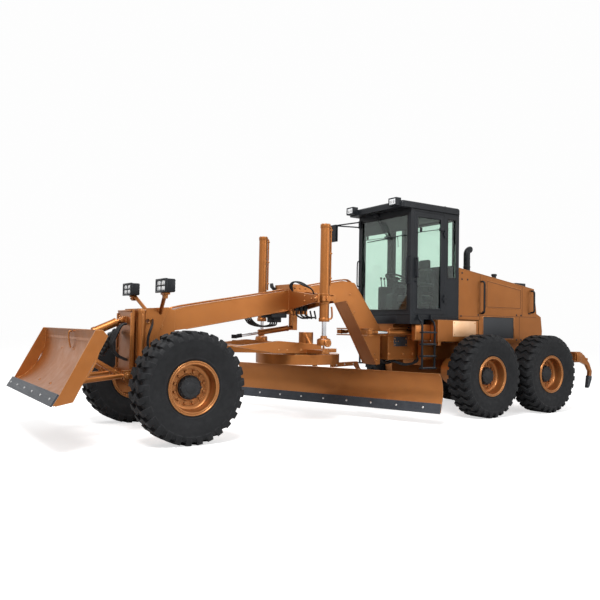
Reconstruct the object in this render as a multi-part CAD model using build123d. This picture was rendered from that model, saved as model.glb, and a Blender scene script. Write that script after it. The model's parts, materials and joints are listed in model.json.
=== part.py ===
from build123d import *
from math import atan2, cos, degrees, hypot, pi, radians, sin, sqrt
import os

# Motor grader with a front scoop and a rear ripper, in millimetres.
# Origin: on the ground, on the centreline, below the articulation pin.
# +X forward, +Y left, +Z up.

# ---- driving dimensions ----------------------------------------------------
RUN_FIT = 0.05               # radial clearance of a pin or rod in its bore
SEAT = 0.4                   # gap between pieces that seat on each other
SLIDE = 1.0                  # gap of a sliding guide
MOVE = 10.0                  # gap between pieces that swing past each other

FRONT_AXLE_X = 3870.0        # front axle ahead of the articulation pin
TANDEM_X = -2285.0           # centre of the rear tandem
TANDEM_HALF = 786.0          # each rear wheel from the tandem's centre
TRACK_HALF = 1060.0          # wheel centre planes from the centreline

TYRE_R = 694.0
TYRE_W = 445.0
CARCASS_R = 649.0            # tread between the lugs
LUGS = 28                    # round each tyre, which has as many flat facets
LUG_RUN = 66.0               # length of a lug round the tyre
SHOULDER = 14.0              # carcass and lugs draw in towards the tread by these
LUG_SHOULDER = 45.0
BEAD_R = 317.0               # rim seat
FLANGE_R = 354.0
RIM_W = 400.0
RIM_WALL = 16.0
HUB_R = 150.0
SPINDLE_R = 60.0
SPINDLE_END = 1100.0         # outer end of every wheel spindle

FRAME_HALF = 170.0           # half width of the front frame's beam
FRAME_WALL = 40.0            # side plates of the gooseneck beside the hinge lugs
HINGE_R = 60.0               # articulation lugs
HINGE_PIN_R = 30.0
BOX_HALF = 260.0             # half width of the rear frame's front box
BOX_FRONT = -60.0
BOX_REAR = -760.0
BOX_LOW = 940.0
BOX_TOP = 1340.0
RAIL_IN = 300.0              # rear frame rails, inner and outer faces
RAIL_OUT = 420.0
RAIL_TOP = 1230.0
FRAME_END = -3650.0

AXLE_Z = 760.0               # rear axle and tandem cases
AXLE_R = 170.0
CASE_IN = 620.0
CASE_OUT = 800.0
CASE_R = 220.0
CASE_END = 350.0             # case end centres beyond the wheel centres

BALL = (3490.0, 0.0, 1110.0)  # drawbar's front ball
BALL_R = 60.0
BALL_STUD_R = 24.0
BALL_GAP = 0.6
CIRCLE_X = 1570.0            # circle centre
CIRCLE_R = 650.0
CIRCLE_BORE = 540.0
CIRCLE_LOW = 900.0
CIRCLE_TOP = 1050.0
BAR_LOW = 1075.0             # underside of the drawbar
BAR_TOP = 1175.0
BLADE_ANGLE = 22.0           # left end of the blade swept back

BLADE_HALF = 1981.0          # half of a 13 ft moldboard
BLADE_TOP = 790.0
BLADE_TIP = 185.0            # cutting edge carried above the ground
BLADE_TIP_X = 640.0
BLADE_RAILS = (400.0, 620.0)   # heights of the slide rails behind the blade
RAIL_HALF = 20.0
CARRIER_TOP = 652.0

LIFT_X = 1710.0              # lift cylinders
LIFT_Y = 890.0
LIFT_PIVOT_Z = 1870.0
LIFT_TOP = 2950.0
LIFT_LOW = 1540.0
LIFT_BALL_Z = 1210.0
LIFT_R = 70.0
LIFT_ROD_R = 32.0
FORK_IN = 120.0              # the saddle's fork plates, from the cylinder's axis
FORK_OUT = 150.0
YOKE_PIN_R = 22.0
CENTRE_SHIFT_START = (1570.0, -150.0, 1450.0)
CENTRE_SHIFT_END = (2430.0, -490.0, 1290.0)
CENTRE_PIN_R = 16.0
CENTRE_EYE_HALF = 28.0
CENTRE_CLEVIS_IN = 48.0        # faces of the centre shift clevis from its middle
CENTRE_CLEVIS_OUT = 62.0
CENTRE_STUD_GAP = 26.0         # room under the eye, which dips as the drawbar swings
LIFT_EYE = (4100.0, 1500.0)  # lifting eye through the nose plates
LIFT_EYE_R = 26.0

CAB_FRONT = -160.0
CAB_REAR = -1280.0
CAB_HALF = 680.0
CAB_LOW = 1540.0
SIDE_BOX_LOW = 1260.0
LADDER_REAR = -605.0           # ladder beside the door
LADDER_FRONT = -305.0
LADDER_RAIL = 20.0
STEP_TOPS = (836.0, 1030.0, 1224.0, 1418.0)
STEP_T = 24.0
PILLAR = 60.0
DOOR_FRONT = -235.0
DOOR_REAR = -925.0
DOOR_LOW = 1705.0
DOOR_TOP = 3395.0
CAB_TOP = DOOR_TOP + 45
ROOF_TOP = CAB_TOP + 110
CAB_FLOOR = 1640.0
FRONT_PANE_LOW = 1760.0
FRONT_PANE_TOP = DOOR_TOP - 35
FRONT_PANE_EDGE = 75.0         # from the cab's sides
REAR_PANE_LOW = 2560.0
REAR_PANE_TOP = DOOR_TOP - 45
REAR_PANE_EDGE = 110.0
SIDE_PANE_LOW = 2330.0         # behind each door, as high as the rear pane
SIDE_PANE_REAR = CAB_REAR + 70
SIDE_PANE_FRONT = DOOR_REAR - 75
HANDLE_LOW = 2300.0            # outside handle of a door
HANDLE_TOP = 2630.0
DOOR_T = 40.0
GLASS_T = 8.0
DOOR_HINGE_Y = 694.0          # hinge pins stand outside the cab's wall
HINGE_LOWS = (DOOR_LOW + 245, DOOR_TOP - 345)

HOOD_FRONT = -1380.0
HOOD_HALF = 590.0
HOOD_WALL = 15.0

SCOOP_HALF = 1300.0
SCOOP_T = 16.0
SCOOP_PIVOT = (4390.0, 800.0)
SCOOP_EAR = (4870.0, 1290.0)
SCOOP_EAR_Y = 33.0            # inner faces of the ears from the centreline
TILT_TOP = (4385.0, 1505.0)
ARM_Y = 300.0                # scoop arms from the centreline
TILT_R = 55.0
TILT_LUG = 44.0               # inner faces of the tilt cylinder's lugs from the centreline
LAMP_POST_R = 26.0

STEER_Y = 800.0              # kingpins
LEAN_Y = 560.0               # wheel lean pins
SIDES = ((1, "left"), (-1, "right"))
RIPPER_PIN = (FRAME_END - 128, 0, 1180)
RIPPER_EYE = (-4150, 0, 1140)


# ---- shapes ----------------------------------------------------------------
def box(x0, x1, y0, y1, z0, z1):
    size = (abs(x1 - x0), abs(y1 - y0), abs(z1 - z0))
    middle = ((x0 + x1) / 2, (y0 + y1) / 2, (z0 + z1) / 2)
    return Pos(*middle) * Box(*size)


def side_plate(points, y0, y1):
    """A closed outline of (x, z) points, as a plate from y0 to y1."""
    y0, y1 = min(y0, y1), max(y0, y1)
    face = make_face(Polyline(*[(x, y0, z) for x, z in points], close=True))
    return extrude(face, amount=y1 - y0, dir=(0, 1, 0))


def floor_plate(points, z0, z1):
    """A closed outline of (x, y) points, as a plate from z0 to z1."""
    face = make_face(Polyline(*[(x, y, z0) for x, y in points], close=True))
    return extrude(face, amount=z1 - z0, dir=(0, 0, 1))


def cross_plate(points, x0, x1):
    """A closed outline of (y, z) points, as a plate from x0 to x1."""
    face = make_face(Polyline(*[(x0, y, z) for y, z in points], close=True))
    return extrude(face, amount=x1 - x0, dir=(1, 0, 0))


def bar(start, end, radius):
    """A round bar from one point to another."""
    start, end = Vector(*start), Vector(*end)
    run = end - start
    return Plane(origin=start, z_dir=run) * Cylinder(
        radius, run.length, align=(Align.CENTER, Align.CENTER, Align.MIN)
    )


def pipe(start, end, outer, inner):
    return bar(start, end, outer) - bar(start, end, inner)


def along(start, end, distance):
    """The point at a distance from start towards end."""
    start, end = Vector(*start), Vector(*end)
    point = start + (end - start).normalized() * distance
    return (point.X, point.Y, point.Z)


def turned(profile):
    """A profile of (radius, y) points, revolved about the Y axis."""
    face = make_face(Polyline(*[(r, y, 0) for r, y in profile], close=True))
    return revolve(face, axis=Axis.Y)


def flipped(shape, side):
    return shape if side > 0 else mirror(shape, about=Plane.XZ)


def both(maker):
    """The same piece on the left and, mirrored, on the right."""
    left = maker()
    return [left, mirror(left, about=Plane.XZ)]


def save(node, shapes):
    shapes = shapes if isinstance(shapes, (list, tuple)) else [shapes]
    solids = [solid for shape in shapes for solid in shape.solids()]
    whole = solids[0] if len(solids) == 1 else Compound(children=solids)
    whole.label = node
    export_step(whole, f"parts/{node}.step")


# ---- wheels ----------------------------------------------------------------
def facet_ring(profile, count):
    """A closed profile of (radius, y) points in flat facets round the Y axis."""
    step = 360 / count
    rings = []
    for k in range(count):
        corners = [Vector(r / cos(pi / count), y, 0) for r, y in profile]
        rings.append([corner.rotate(Axis.Y, (k + 0.5) * step) for corner in corners])
    faces = []
    for k in range(count):
        here, there = rings[k], rings[(k + 1) % count]
        for i in range(len(profile)):
            j = (i + 1) % len(profile)
            faces.append(make_face(Polyline(here[i], here[j], there[j], there[i], close=True)))
    return Solid(Shell(faces))


def tyre():
    """Tyre about the Y axis, outward +Y, with a lug on the middle of each facet."""
    bead = BEAD_R + SEAT
    half = TYRE_W / 2
    side = [(bead, 170), (FLANGE_R + 8, 175), (500, half), (CARCASS_R, half - SHOULDER)]
    carcass = facet_ring([(r, -y) for r, y in side] + side[::-1], LUGS)
    foot = CARCASS_R - 2
    outline = [
        (-half + SHOULDER, foot), (-half + LUG_SHOULDER, TYRE_R),
        (half - LUG_SHOULDER, TYRE_R), (half - SHOULDER, foot),
    ]
    lug = cross_plate(outline, -LUG_RUN / 2, LUG_RUN / 2)
    return carcass.fuse(*[lug.rotate(Axis.Y, 360 / LUGS * k) for k in range(LUGS)])


def rim():
    """Rim, disc and hub about the Y axis, outward +Y."""
    half = RIM_W / 2
    inner = BEAD_R - RIM_WALL
    flange = half - 24
    drum = [
        (inner, -half), (FLANGE_R, -half), (FLANGE_R, -flange), (BEAD_R, -flange),
        (BEAD_R, flange), (FLANGE_R, flange), (FLANGE_R, half), (inner, half),
    ]
    bore = SPINDLE_R + RUN_FIT
    reach = SPINDLE_END - TRACK_HALF + MOVE
    hub = [(bore, -60), (HUB_R, -60), (HUB_R, 0), (inner + 4, 0), (inner + 4, 22), (HUB_R, 22)]
    hub += [(HUB_R - 20, 90), (0, 90), (0, reach), (bore, reach)]
    return turned(drum) + turned(hub)


def wheels():
    spots = [("front", FRONT_AXLE_X), ("mid", TANDEM_X + TANDEM_HALF), ("rear", TANDEM_X - TANDEM_HALF)]
    one_tyre = tyre()
    one_rim = rim()
    for place, x in spots:
        for side, hand in SIDES:
            spot = Pos(x, TRACK_HALF, TYRE_R)
            save(f"tyre_{place}_{hand}", flipped(spot * one_tyre, side))
            save(f"rim_{place}_{hand}", flipped(spot * one_rim, side))


# ---- rear half -------------------------------------------------------------
def rear_frame():
    box_part = box(BOX_REAR, BOX_FRONT, -BOX_HALF, BOX_HALF, BOX_LOW, BOX_TOP)
    frame = box_part
    for side, _ in SIDES:
        frame += box(FRAME_END, BOX_REAR + 60, side * RAIL_IN, side * RAIL_OUT, BOX_LOW, RAIL_TOP)
        # cylinder anchor beside the box
        frame += box(-600, -520, side * BOX_HALF, side * 460, 1290, BOX_TOP - 6)
        frame += bar((-560, side * 400, 1300), (-560, side * 400, 1440), 25)
        # axle mount under the rail
        frame += box(TANDEM_X - 180, TANDEM_X + 180, side * RAIL_IN, side * RAIL_OUT, AXLE_Z, BOX_LOW)
        # cab and tank outriggers
        frame += box(-760, -700, side * RAIL_IN, side * 780, 1190, SIDE_BOX_LOW - SEAT)
        frame += box(-1600, -1540, side * RAIL_IN, side * 780, 1190, SIDE_BOX_LOW - SEAT)
    frame += box(BOX_REAR - 100, BOX_REAR, -RAIL_OUT, RAIL_OUT, BOX_LOW, RAIL_TOP)
    frame += box(FRAME_END - 60, FRAME_END, -520, 520, BOX_LOW, RAIL_TOP)
    frame -= bar((TANDEM_X, -500, AXLE_Z), (TANDEM_X, 500, AXLE_Z), AXLE_R + SEAT)
    # cab mounts on the box
    frame += box(-700, -200, -220, 220, BOX_TOP, CAB_LOW - SEAT)
    # hinge lugs and pin
    for low in (BOX_LOW, BOX_TOP - 40):
        frame += box(BOX_FRONT, 0, -HINGE_R, HINGE_R, low, low + 40)
        frame += Pos(0, 0, low + 20) * Cylinder(HINGE_R, 40)
    frame += bar((0, 0, BOX_LOW), (0, 0, BOX_TOP), HINGE_PIN_R)
    # transmission case between the rails
    frame += box(-1500, BOX_REAR - 100, -240, 240, 830, 1200)
    # ripper hinge lugs and pins
    for side, _ in SIDES:
        for y in (180, 262):
            frame += side_plate(
                [(FRAME_END - 60, 780), (FRAME_END - 60, 1000), (-3800, 900), (-3800, 780)],
                side * y, side * (y + 20),
            )
        frame += bar((-3750, side * 180, 840), (-3750, side * 282, 840), 22)
    for y in (-62, 44):
        frame += box(FRAME_END - 160, FRAME_END - 60, y, y + 18, 1130, RAIL_TOP)
    x, _, z = RIPPER_PIN
    frame += bar((x, -62, z), (x, 62, z), 18)
    save("rear_frame", frame)


def side_boxes():
    """Tool box on the left and tank on the right, behind the ladders."""
    save("side_boxes", both(lambda: box(-1640, -670, 640, 800, SIDE_BOX_LOW, 1618)))


def axle():
    body = bar((TANDEM_X, -CASE_IN, AXLE_Z), (TANDEM_X, CASE_IN, AXLE_Z), AXLE_R)
    body += Pos(TANDEM_X, 0, AXLE_Z) * Cylinder(250, 330, rotation=(90, 0, 0))
    reach = TANDEM_HALF + CASE_END
    for side, _ in SIDES:
        case = box(
            TANDEM_X - reach, TANDEM_X + reach, side * CASE_IN, side * CASE_OUT,
            AXLE_Z - CASE_R, AXLE_Z + CASE_R,
        )
        for end in (-1, 1):
            x = TANDEM_X + end * reach
            case += bar((x, side * CASE_IN, AXLE_Z), (x, side * CASE_OUT, AXLE_Z), CASE_R)
            x = TANDEM_X + end * TANDEM_HALF
            case += bar((x, side * CASE_OUT, TYRE_R), (x, side * SPINDLE_END, TYRE_R), SPINDLE_R)
        body += case
    save("tandem_axle", body)


def engine():
    save("engine_block", box(-3050, -1930, -RAIL_IN + SEAT, RAIL_IN - SEAT, 1020, 1950))


HOOD_LINE = [
    (HOOD_FRONT, 1640), (HOOD_FRONT, 2540), (-3440, 2260), (-3520, 1790), (-3650, 1730), (-3690, 1450),
    (-3660, RAIL_TOP + SEAT), (-1900, RAIL_TOP + SEAT), (-1900, 1640),
]


def hood():
    shell = side_plate(HOOD_LINE, -HOOD_HALF, HOOD_HALF)
    core = [
        (HOOD_FRONT - HOOD_WALL, 1655), (HOOD_FRONT - HOOD_WALL, 2524), (-3427, 2246), (-3506, 1780),
        (-3637, 1720), (-3675, 1450), (-3650, 1250), (-1915, 1250), (-1915, 1655),
    ]
    shell -= side_plate(core, -HOOD_HALF + HOOD_WALL, HOOD_HALF - HOOD_WALL)
    shell -= box(-3060, -1920, -310, 310, 1200, 1300)
    # side grille openings, and the one at the back
    for side, _ in SIDES:
        shell -= box(-2850, -2010, side * (HOOD_HALF - 40), side * (HOOD_HALF + 10), 1310, 1700)
    shell -= box(-3500, -3460, -400, 400, 1850, 2180)
    return shell


def grilles():
    """Dark grille panels with their bars, set into the hood's openings."""
    made = []
    for side, _ in SIDES:
        inner = side * (HOOD_HALF - HOOD_WALL)
        frame = box(-2850 + SEAT, -2010 - SEAT, inner, inner + side * 11, 1310 + SEAT, 1700 - SEAT)
        made.append(frame)
    return made


def exhaust():
    start, bend = (-1950, 250, 2420), (-1950, 250, 2850)
    path = Line(start, bend) + TangentArc(bend, (-2040, 250, 2940), tangent=(0, 0, 1))
    tube = sweep(Plane(origin=start, z_dir=(0, 0, 1)) * Circle(60), path=path)
    return tube - side_plate([(x, z + SEAT) for x, z in HOOD_LINE], 100, 400)


def ladder():
    """Black step ladder whose rails curve in to the cab's sill."""
    rails = None
    for x in (LADDER_REAR, LADDER_FRONT - LADDER_RAIL):
        curve = [
            (815, 812), (815, 1500), (790, 1580), (720, 1640), (720, 1695), (CAB_HALF + SEAT, 1695),
            (CAB_HALF + SEAT, 1635), (770, 1560), (785, 1500), (785, 812),
        ]
        rail = cross_plate(curve, x, x + LADDER_RAIL)
        rails = rail if rails is None else rails + rail
    for z in STEP_TOPS:
        rails += box(LADDER_REAR, LADDER_FRONT, 750, 840, z - STEP_T, z)
    return rails


def rails_and_ladders():
    """Black ladders on both sides and the grab rails of the hood."""
    def rail_at(x, low, high):
        y = HOOD_HALF
        bend = 45
        loop = FilletPolyline(
            (x, y + SEAT, low), (x, y + 70, low), (x, y + 70, high), (x, y + SEAT, high), radius=bend
        )
        ring = Plane(origin=(x, y + SEAT, low), z_dir=(0, 1, 0)) * Circle(17)
        return sweep(ring, path=loop)

    shapes = both(ladder)
    for x, low, high in ((-1960, 1760, 2330), (-3360, 1810, 2220)):
        shapes += both(lambda: rail_at(x, low, high))
    return shapes


def ripper():
    """Ripper frame, pinned at the rear of the frame, with five shanks."""
    body = None
    for side, _ in SIDES:
        arm = side_plate(
            [(-3720, 810), (-3720, 880), (-4100, 1060), (-4200, 1060), (-4200, 900), (-4100, 900)],
            side * 204, side * 258,
        )
        arm += bar((-3750, side * 204, 840), (-3750, side * 258, 840), 50)
        arm -= bar((-3750, side * 190, 840), (-3750, side * 270, 840), 22 + RUN_FIT)
        body = arm if body is None else body + arm
    body += box(-4240, -4080, -1080, 1080, 900, 1060)
    for y in (-52, 34):
        body += box(-4190, -4110, y, y + 18, 1050, 1180)
    shank = [
        (-4240, 1080), (-4390, 1010), (-4560, 850), (-4640, 700), (-4620, 560), (-4520, 390), (-4560, 600),
        (-4570, 700), (-4480, 820), (-4240, 900),
    ]
    for y in (-1000, -500, 0, 500, 1000):
        body += side_plate(shank, y - 30, y + 30)
        body += box(-4240, -4060, y - 50, y + 50, 880, 1080)
    save("ripper", body)


def cylinder_pair(start, end, pin_axis, barrel_r, rod_r, pin_r, neck, length, engaged):
    """A barrel pinned at start and its rod, which ends in an eye at end.

    The barrel proper starts past the neck and ends at length, and the rod's
    inner end reaches engaged millimetres into it.
    """
    start_v, end_v, axis = Vector(*start), Vector(*end), Vector(*pin_axis)
    half = barrel_r * 0.7
    barrel = bar(along(start, end, neck), along(start, end, length), barrel_r)
    barrel += bar(start, along(start, end, neck + 5), half * 0.8)
    barrel += bar(tuple(start_v - axis * half), tuple(start_v + axis * half), pin_r * 1.7)
    barrel -= bar(tuple(start_v - axis * (half + 5)), tuple(start_v + axis * (half + 5)), pin_r + RUN_FIT)
    barrel -= bar(along(start, end, neck + 15), along(start, end, length + 5), rod_r + RUN_FIT)
    rod = bar(along(start, end, length - engaged), end, rod_r)
    rod += bar(tuple(end_v - axis * half * 0.8), tuple(end_v + axis * half * 0.8), rod_r * 1.6)
    return barrel, rod


def ripper_cylinder():
    barrel, rod = cylinder_pair(RIPPER_PIN, RIPPER_EYE, (0, 1, 0), 45, 22, 18, 50, 300, 198)
    save("ripper_barrel", barrel)
    save("ripper_rod", rod)


def articulation_cylinders():
    """Cylinders beside the rear box that fold the machine at its pin."""
    for side, hand in SIDES:
        start = (-560, side * 400, 1392)
        end = (450, side * 400, 1392)
        barrel, rod = cylinder_pair(start, end, (0, 0, 1), 46, 25, 25, 70, 640, 370)
        save(f"articulation_barrel_{hand}", barrel)
        save(f"articulation_rod_{hand}", rod)


# ---- cab -------------------------------------------------------------------
def cab_shell():
    shell = box(CAB_REAR, CAB_FRONT, -CAB_HALF, CAB_HALF, CAB_LOW, CAB_TOP)
    wall = PILLAR
    shell -= box(
        CAB_REAR + wall, CAB_FRONT - wall, -CAB_HALF + wall, CAB_HALF - wall, CAB_FLOOR, CAB_TOP - wall
    )
    # the sides' sills stand higher than the front panel's lower edge
    for side, _ in SIDES:
        shell -= box(CAB_REAR - 5, CAB_FRONT - 300, side * 420, side * (CAB_HALF + 5), CAB_LOW - 5, 1620)
        shell -= box(DOOR_REAR - 5, DOOR_FRONT + 5, side * (CAB_HALF - wall - 5), side * (CAB_HALF + 5),
                     DOOR_LOW - 5, DOOR_TOP + 5)
        shell -= box(SIDE_PANE_REAR, SIDE_PANE_FRONT, side * (CAB_HALF - wall - 5), side * (CAB_HALF + 5),
                     SIDE_PANE_LOW, REAR_PANE_TOP)
    front, rear = CAB_HALF - FRONT_PANE_EDGE, CAB_HALF - REAR_PANE_EDGE
    shell -= box(CAB_FRONT - wall - 5, CAB_FRONT + 5, -front, front, FRONT_PANE_LOW, FRONT_PANE_TOP)
    shell -= box(CAB_REAR - 5, CAB_REAR + wall + 5, -rear, rear, REAR_PANE_LOW, REAR_PANE_TOP)
    for side, _ in SIDES:
        y = side * DOOR_HINGE_Y
        for low in HINGE_LOWS:
            for z in (low - 42, low + 52):
                shell += bar((DOOR_REAR, y, z), (DOOR_REAR, y, z + 40), 12)
                shell += box(DOOR_REAR - 40, DOOR_REAR, side * (CAB_HALF - 5), side * (DOOR_HINGE_Y + 6),
                             z, z + 40)
            shell += bar((DOOR_REAR, y, low - 40), (DOOR_REAR, y, low + 90), 6)
    return shell + mirror_arm()


def cab_roof():
    roof = box(CAB_REAR - 10, 60, -710, 710, CAB_TOP, ROOF_TOP)
    roof = fillet(roof.edges().filter_by(Axis.Z), 60)
    roof = fillet(roof.faces().sort_by(Axis.Z)[-1].edges(), 40)
    for side, _ in SIDES:
        roof += box(40, 150, side * 470, side * 650, ROOF_TOP - 95, ROOF_TOP + 35)
    return roof


def cab_windows():
    middle = PILLAR / 2
    front = CAB_HALF - FRONT_PANE_EDGE - SEAT
    rear = CAB_HALF - REAR_PANE_EDGE - SEAT
    panes = [
        box(CAB_FRONT - middle, CAB_FRONT - middle + GLASS_T, -front, front,
            FRONT_PANE_LOW + SEAT, FRONT_PANE_TOP - SEAT),
        box(CAB_REAR + middle, CAB_REAR + middle + GLASS_T, -rear, rear,
            REAR_PANE_LOW + SEAT, REAR_PANE_TOP - SEAT),
    ]
    for side, _ in SIDES:
        y = side * (CAB_HALF - middle)
        panes.append(box(SIDE_PANE_REAR + SEAT, SIDE_PANE_FRONT - SEAT, y, y + side * GLASS_T,
                         SIDE_PANE_LOW + SEAT, REAR_PANE_TOP - SEAT))
    return panes


def doors():
    for side, hand in SIDES:
        inner = side * (CAB_HALF - DOOR_T)
        door = box(DOOR_REAR, DOOR_FRONT, inner, side * CAB_HALF, DOOR_LOW, DOOR_TOP)
        frame = (DOOR_REAR + 70, DOOR_FRONT - 60, DOOR_LOW + 80, DOOR_TOP - 70)
        door -= box(frame[0], frame[1], inner - side * 5, side * (CAB_HALF + 5), frame[2], frame[3])
        y = side * (CAB_HALF - DOOR_T / 2)
        pane = box(frame[0] + SEAT, frame[1] - SEAT, y - 4, y + 4, frame[2] + SEAT, frame[3] - SEAT)
        # outside handle near the front edge
        out = side * (CAB_HALF + 55)
        for z in (HANDLE_LOW, HANDLE_TOP - 30):
            door += box(DOOR_FRONT - 45, DOOR_FRONT - 20, side * CAB_HALF, out, z, z + 30)
        door += box(DOOR_FRONT - 45, DOOR_FRONT - 20, out - side * 20, out, HANDLE_LOW, HANDLE_TOP)
        for low in HINGE_LOWS:
            door += box(DOOR_REAR, DOOR_REAR + 30, side * CAB_HALF, side * (DOOR_HINGE_Y + 6), low, low + 50)
            door += bar((DOOR_REAR, side * DOOR_HINGE_Y, low), (DOOR_REAR, side * DOOR_HINGE_Y, low + 50), 12)
        y = side * DOOR_HINGE_Y
        door -= bar((DOOR_REAR, y, DOOR_LOW), (DOOR_REAR, y, DOOR_TOP), 6 + RUN_FIT)
        save(f"door_{hand}", door)
        save(f"door_glass_{hand}", pane)


def cab_interior():
    seat = box(-1120, -700, -230, 230, CAB_FLOOR + SEAT, 1900)
    seat += box(-1130, -640, -250, 250, 1900, 2060)
    seat += box(-1170, -1060, -240, 240, 2060, 2700)
    column = box(-420, -300, -60, 60, CAB_FLOOR + SEAT, 2050)
    column += bar((-360, 0, 2000), (-480, 0, 2330), 35)
    wheel_plane = Plane(origin=(-480, 0, 2330), z_dir=(-0.34, 0, 0.94))
    column += wheel_plane * Torus(200, 16)
    column += wheel_plane * Box(400, 30, 14)
    console = [
        box(-700, -380, side * 300, side * 400, CAB_FLOOR + SEAT, 2250) for side, _ in SIDES
    ]
    return [seat, column] + console


def mirror_arm():
    """Mirror on two stays, on the right only."""
    foot_x = CAB_FRONT + 16
    stays = (DOOR_TOP - 34, DOOR_TOP - 128)
    tip = (130, -1050, DOOR_TOP - 75)
    arm = box(foot_x - 16, foot_x + 12, -665, -615, stays[1] - 20, stays[0] + 20)
    for z in stays:
        arm += bar((foot_x, -640, z), tip, 12)
    return arm + box(tip[0] - 25, tip[0] + 25, tip[1] - 80, tip[1] + 80, tip[2] - 296, tip[2] + 10)


# ---- front half ------------------------------------------------------------
FRAME_TOP = [(3820, 1620), (3570, 1700), (2320, 1925), (1600, 2065),
             (820, 2210), (600, 2190), (390, 1920), (60, 1480)]
FRAME_REAR = [(35, 1440), (35, 860)]
FRAME_UNDER = [(110, 850), (460, 1430), (760, 1890), (1840, 1710), (2680, 1555), (3540, 1400), (3820, 1360)]


def front_frame():
    frame = side_plate(FRAME_TOP + FRAME_REAR + FRAME_UNDER, -FRAME_HALF, FRAME_HALF)
    # room for the rear half's hinge lugs
    slot = FRAME_HALF - FRAME_WALL
    frame -= box(-100, 80, -slot, slot, 800, 1420)
    for low in (BOX_LOW + 40 + MOVE, BOX_TOP - 80 - MOVE):
        lug = box(0, 95, -HINGE_R, HINGE_R, low, low + 40) + Pos(0, 0, low + 20) * Cylinder(HINGE_R, 40)
        frame += lug
    frame += box(78, 120, -FRAME_HALF, FRAME_HALF, 960, 1400)
    frame -= bar((0, 0, 900), (0, 0, 1400), HINGE_PIN_R + RUN_FIT)
    # articulation cylinder clevises
    for side, _ in SIDES:
        for z in (1330, 1434):
            frame += floor_plate([(300, side * 165), (430, side * 165), (490, side * 380), (490, side * 440),
                                  (410, side * 440), (360, side * 380)], z, z + 20)
    # nose bolster over the front axle, with its pivot lugs
    frame += side_plate([(3700, 1650), (3700, 1020), (4040, 1020), (4040, 1640), (3820, 1690)], -190, 190)
    for x in (3700, 3962):
        frame += box(x, x + 78, -120, 120, 720, 1030)
    frame += bar((3700, 0, 800), (4040, 0, 800), 45)
    # drawbar ball socket bracket behind the bolster
    for z0, z1 in ((BALL[2] - 125, BALL[2] - 95), (BALL[2] + 95, BALL[2] + 125)):
        frame += box(BALL[0], 3710, -60, 60, z0, z1) + Pos(BALL[0], 0, (z0 + z1) / 2) * Cylinder(60, z1 - z0)
    frame -= bar((BALL[0], 0, 900), (BALL[0], 0, 1300), BALL_STUD_R + RUN_FIT)
    # side plates and guide bars for the scoop's carriage
    for side, _ in SIDES:
        frame += side_plate([(3800, 1690), (4250, 1660), (4250, 740), (4150, 700), (4000, 760), (3950, 1350)],
                            side * 190, side * 230)
        frame += side_plate([(4245, 1640), (4295, 1640), (4295, 740), (4245, 740)], side * 120, side * 160)
        frame += side_plate([(4170, 1660), (4250, 1660), (4250, 740), (4170, 740)], side * 110, side * 235)
        # vertical scoop lift barrels
        frame += box(4180, 4250, side * 225, side * 300, 1540, 1640)
        barrel = bar((4215, side * 315, 910), (4215, side * 315, 1640), 52)
        barrel += box(4180, 4250, side * 225, side * 300, 1010, 1060)
        frame += barrel
        frame -= bar((4215, side * 315, 900), (4215, side * 315, 1605), 24 + RUN_FIT)
        # headlamp posts
        frame += box(3890, 3950, side * 185, side * 215, 1400, 1640)
        frame += bar(*lamp_post(side), LAMP_POST_R)
    x, z = LIFT_EYE
    frame -= bar((x, -300, z), (x, 300, z), LIFT_EYE_R)
    save("front_frame", [frame, saddle()])


def lamp_post(side):
    return (3920, side * 200, 1600), (4010, side * 600, 1872)


def headlamps():
    def one():
        start, end = lamp_post(1)
        run = Vector(*end) - Vector(*start)
        beyond = along(start, end, run.length + SEAT)
        return box(3965, 4105, 460, 740, 1862, 2040) - bar(start, beyond, LAMP_POST_R + SEAT)
    return both(one)


def saddle():
    """Collar on the beam that carries the lift cylinders in two forks."""
    body = box(1560, 1860, -235, 235, 1650, 2105)
    cutter = side_plate(
        [(x, z + SEAT) for x, z in FRAME_TOP] + FRAME_REAR + [(x, z - SEAT) for x, z in FRAME_UNDER],
        -FRAME_HALF - SEAT, FRAME_HALF + SEAT,
    )
    for side, _ in SIDES:
        for x0, x1 in ((LIFT_X - FORK_OUT, LIFT_X - FORK_IN), (LIFT_X + FORK_IN, LIFT_X + FORK_OUT)):
            arm = cross_plate(
                [(side * 230, 1720), (side * 230, 2000), (side * 800, 1930), (side * 950, 1930),
                 (side * 950, 1810), (side * 800, 1810)], x0, x1,
            )
            y = side * LIFT_Y
            arm -= bar((x0 - 5, y, LIFT_PIVOT_Z), (x1 + 5, y, LIFT_PIVOT_Z), YOKE_PIN_R + RUN_FIT)
            body += arm
        body += box(LIFT_X - FORK_OUT, LIFT_X + FORK_OUT, side * 230, side * 520, 1820, 1900)
    # clevis for the centre shift cylinder under the beam
    x, y, z = CENTRE_SHIFT_START
    for inner in (-1, 1):
        near, far = y + inner * CENTRE_CLEVIS_IN, y + inner * CENTRE_CLEVIS_OUT
        body += box(x - 40, x + 40, near, far, z - 45, 1700)
    body += bar((x, y - CENTRE_CLEVIS_OUT, z), (x, y + CENTRE_CLEVIS_OUT, z), CENTRE_PIN_R)
    body -= cutter
    return body


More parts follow.
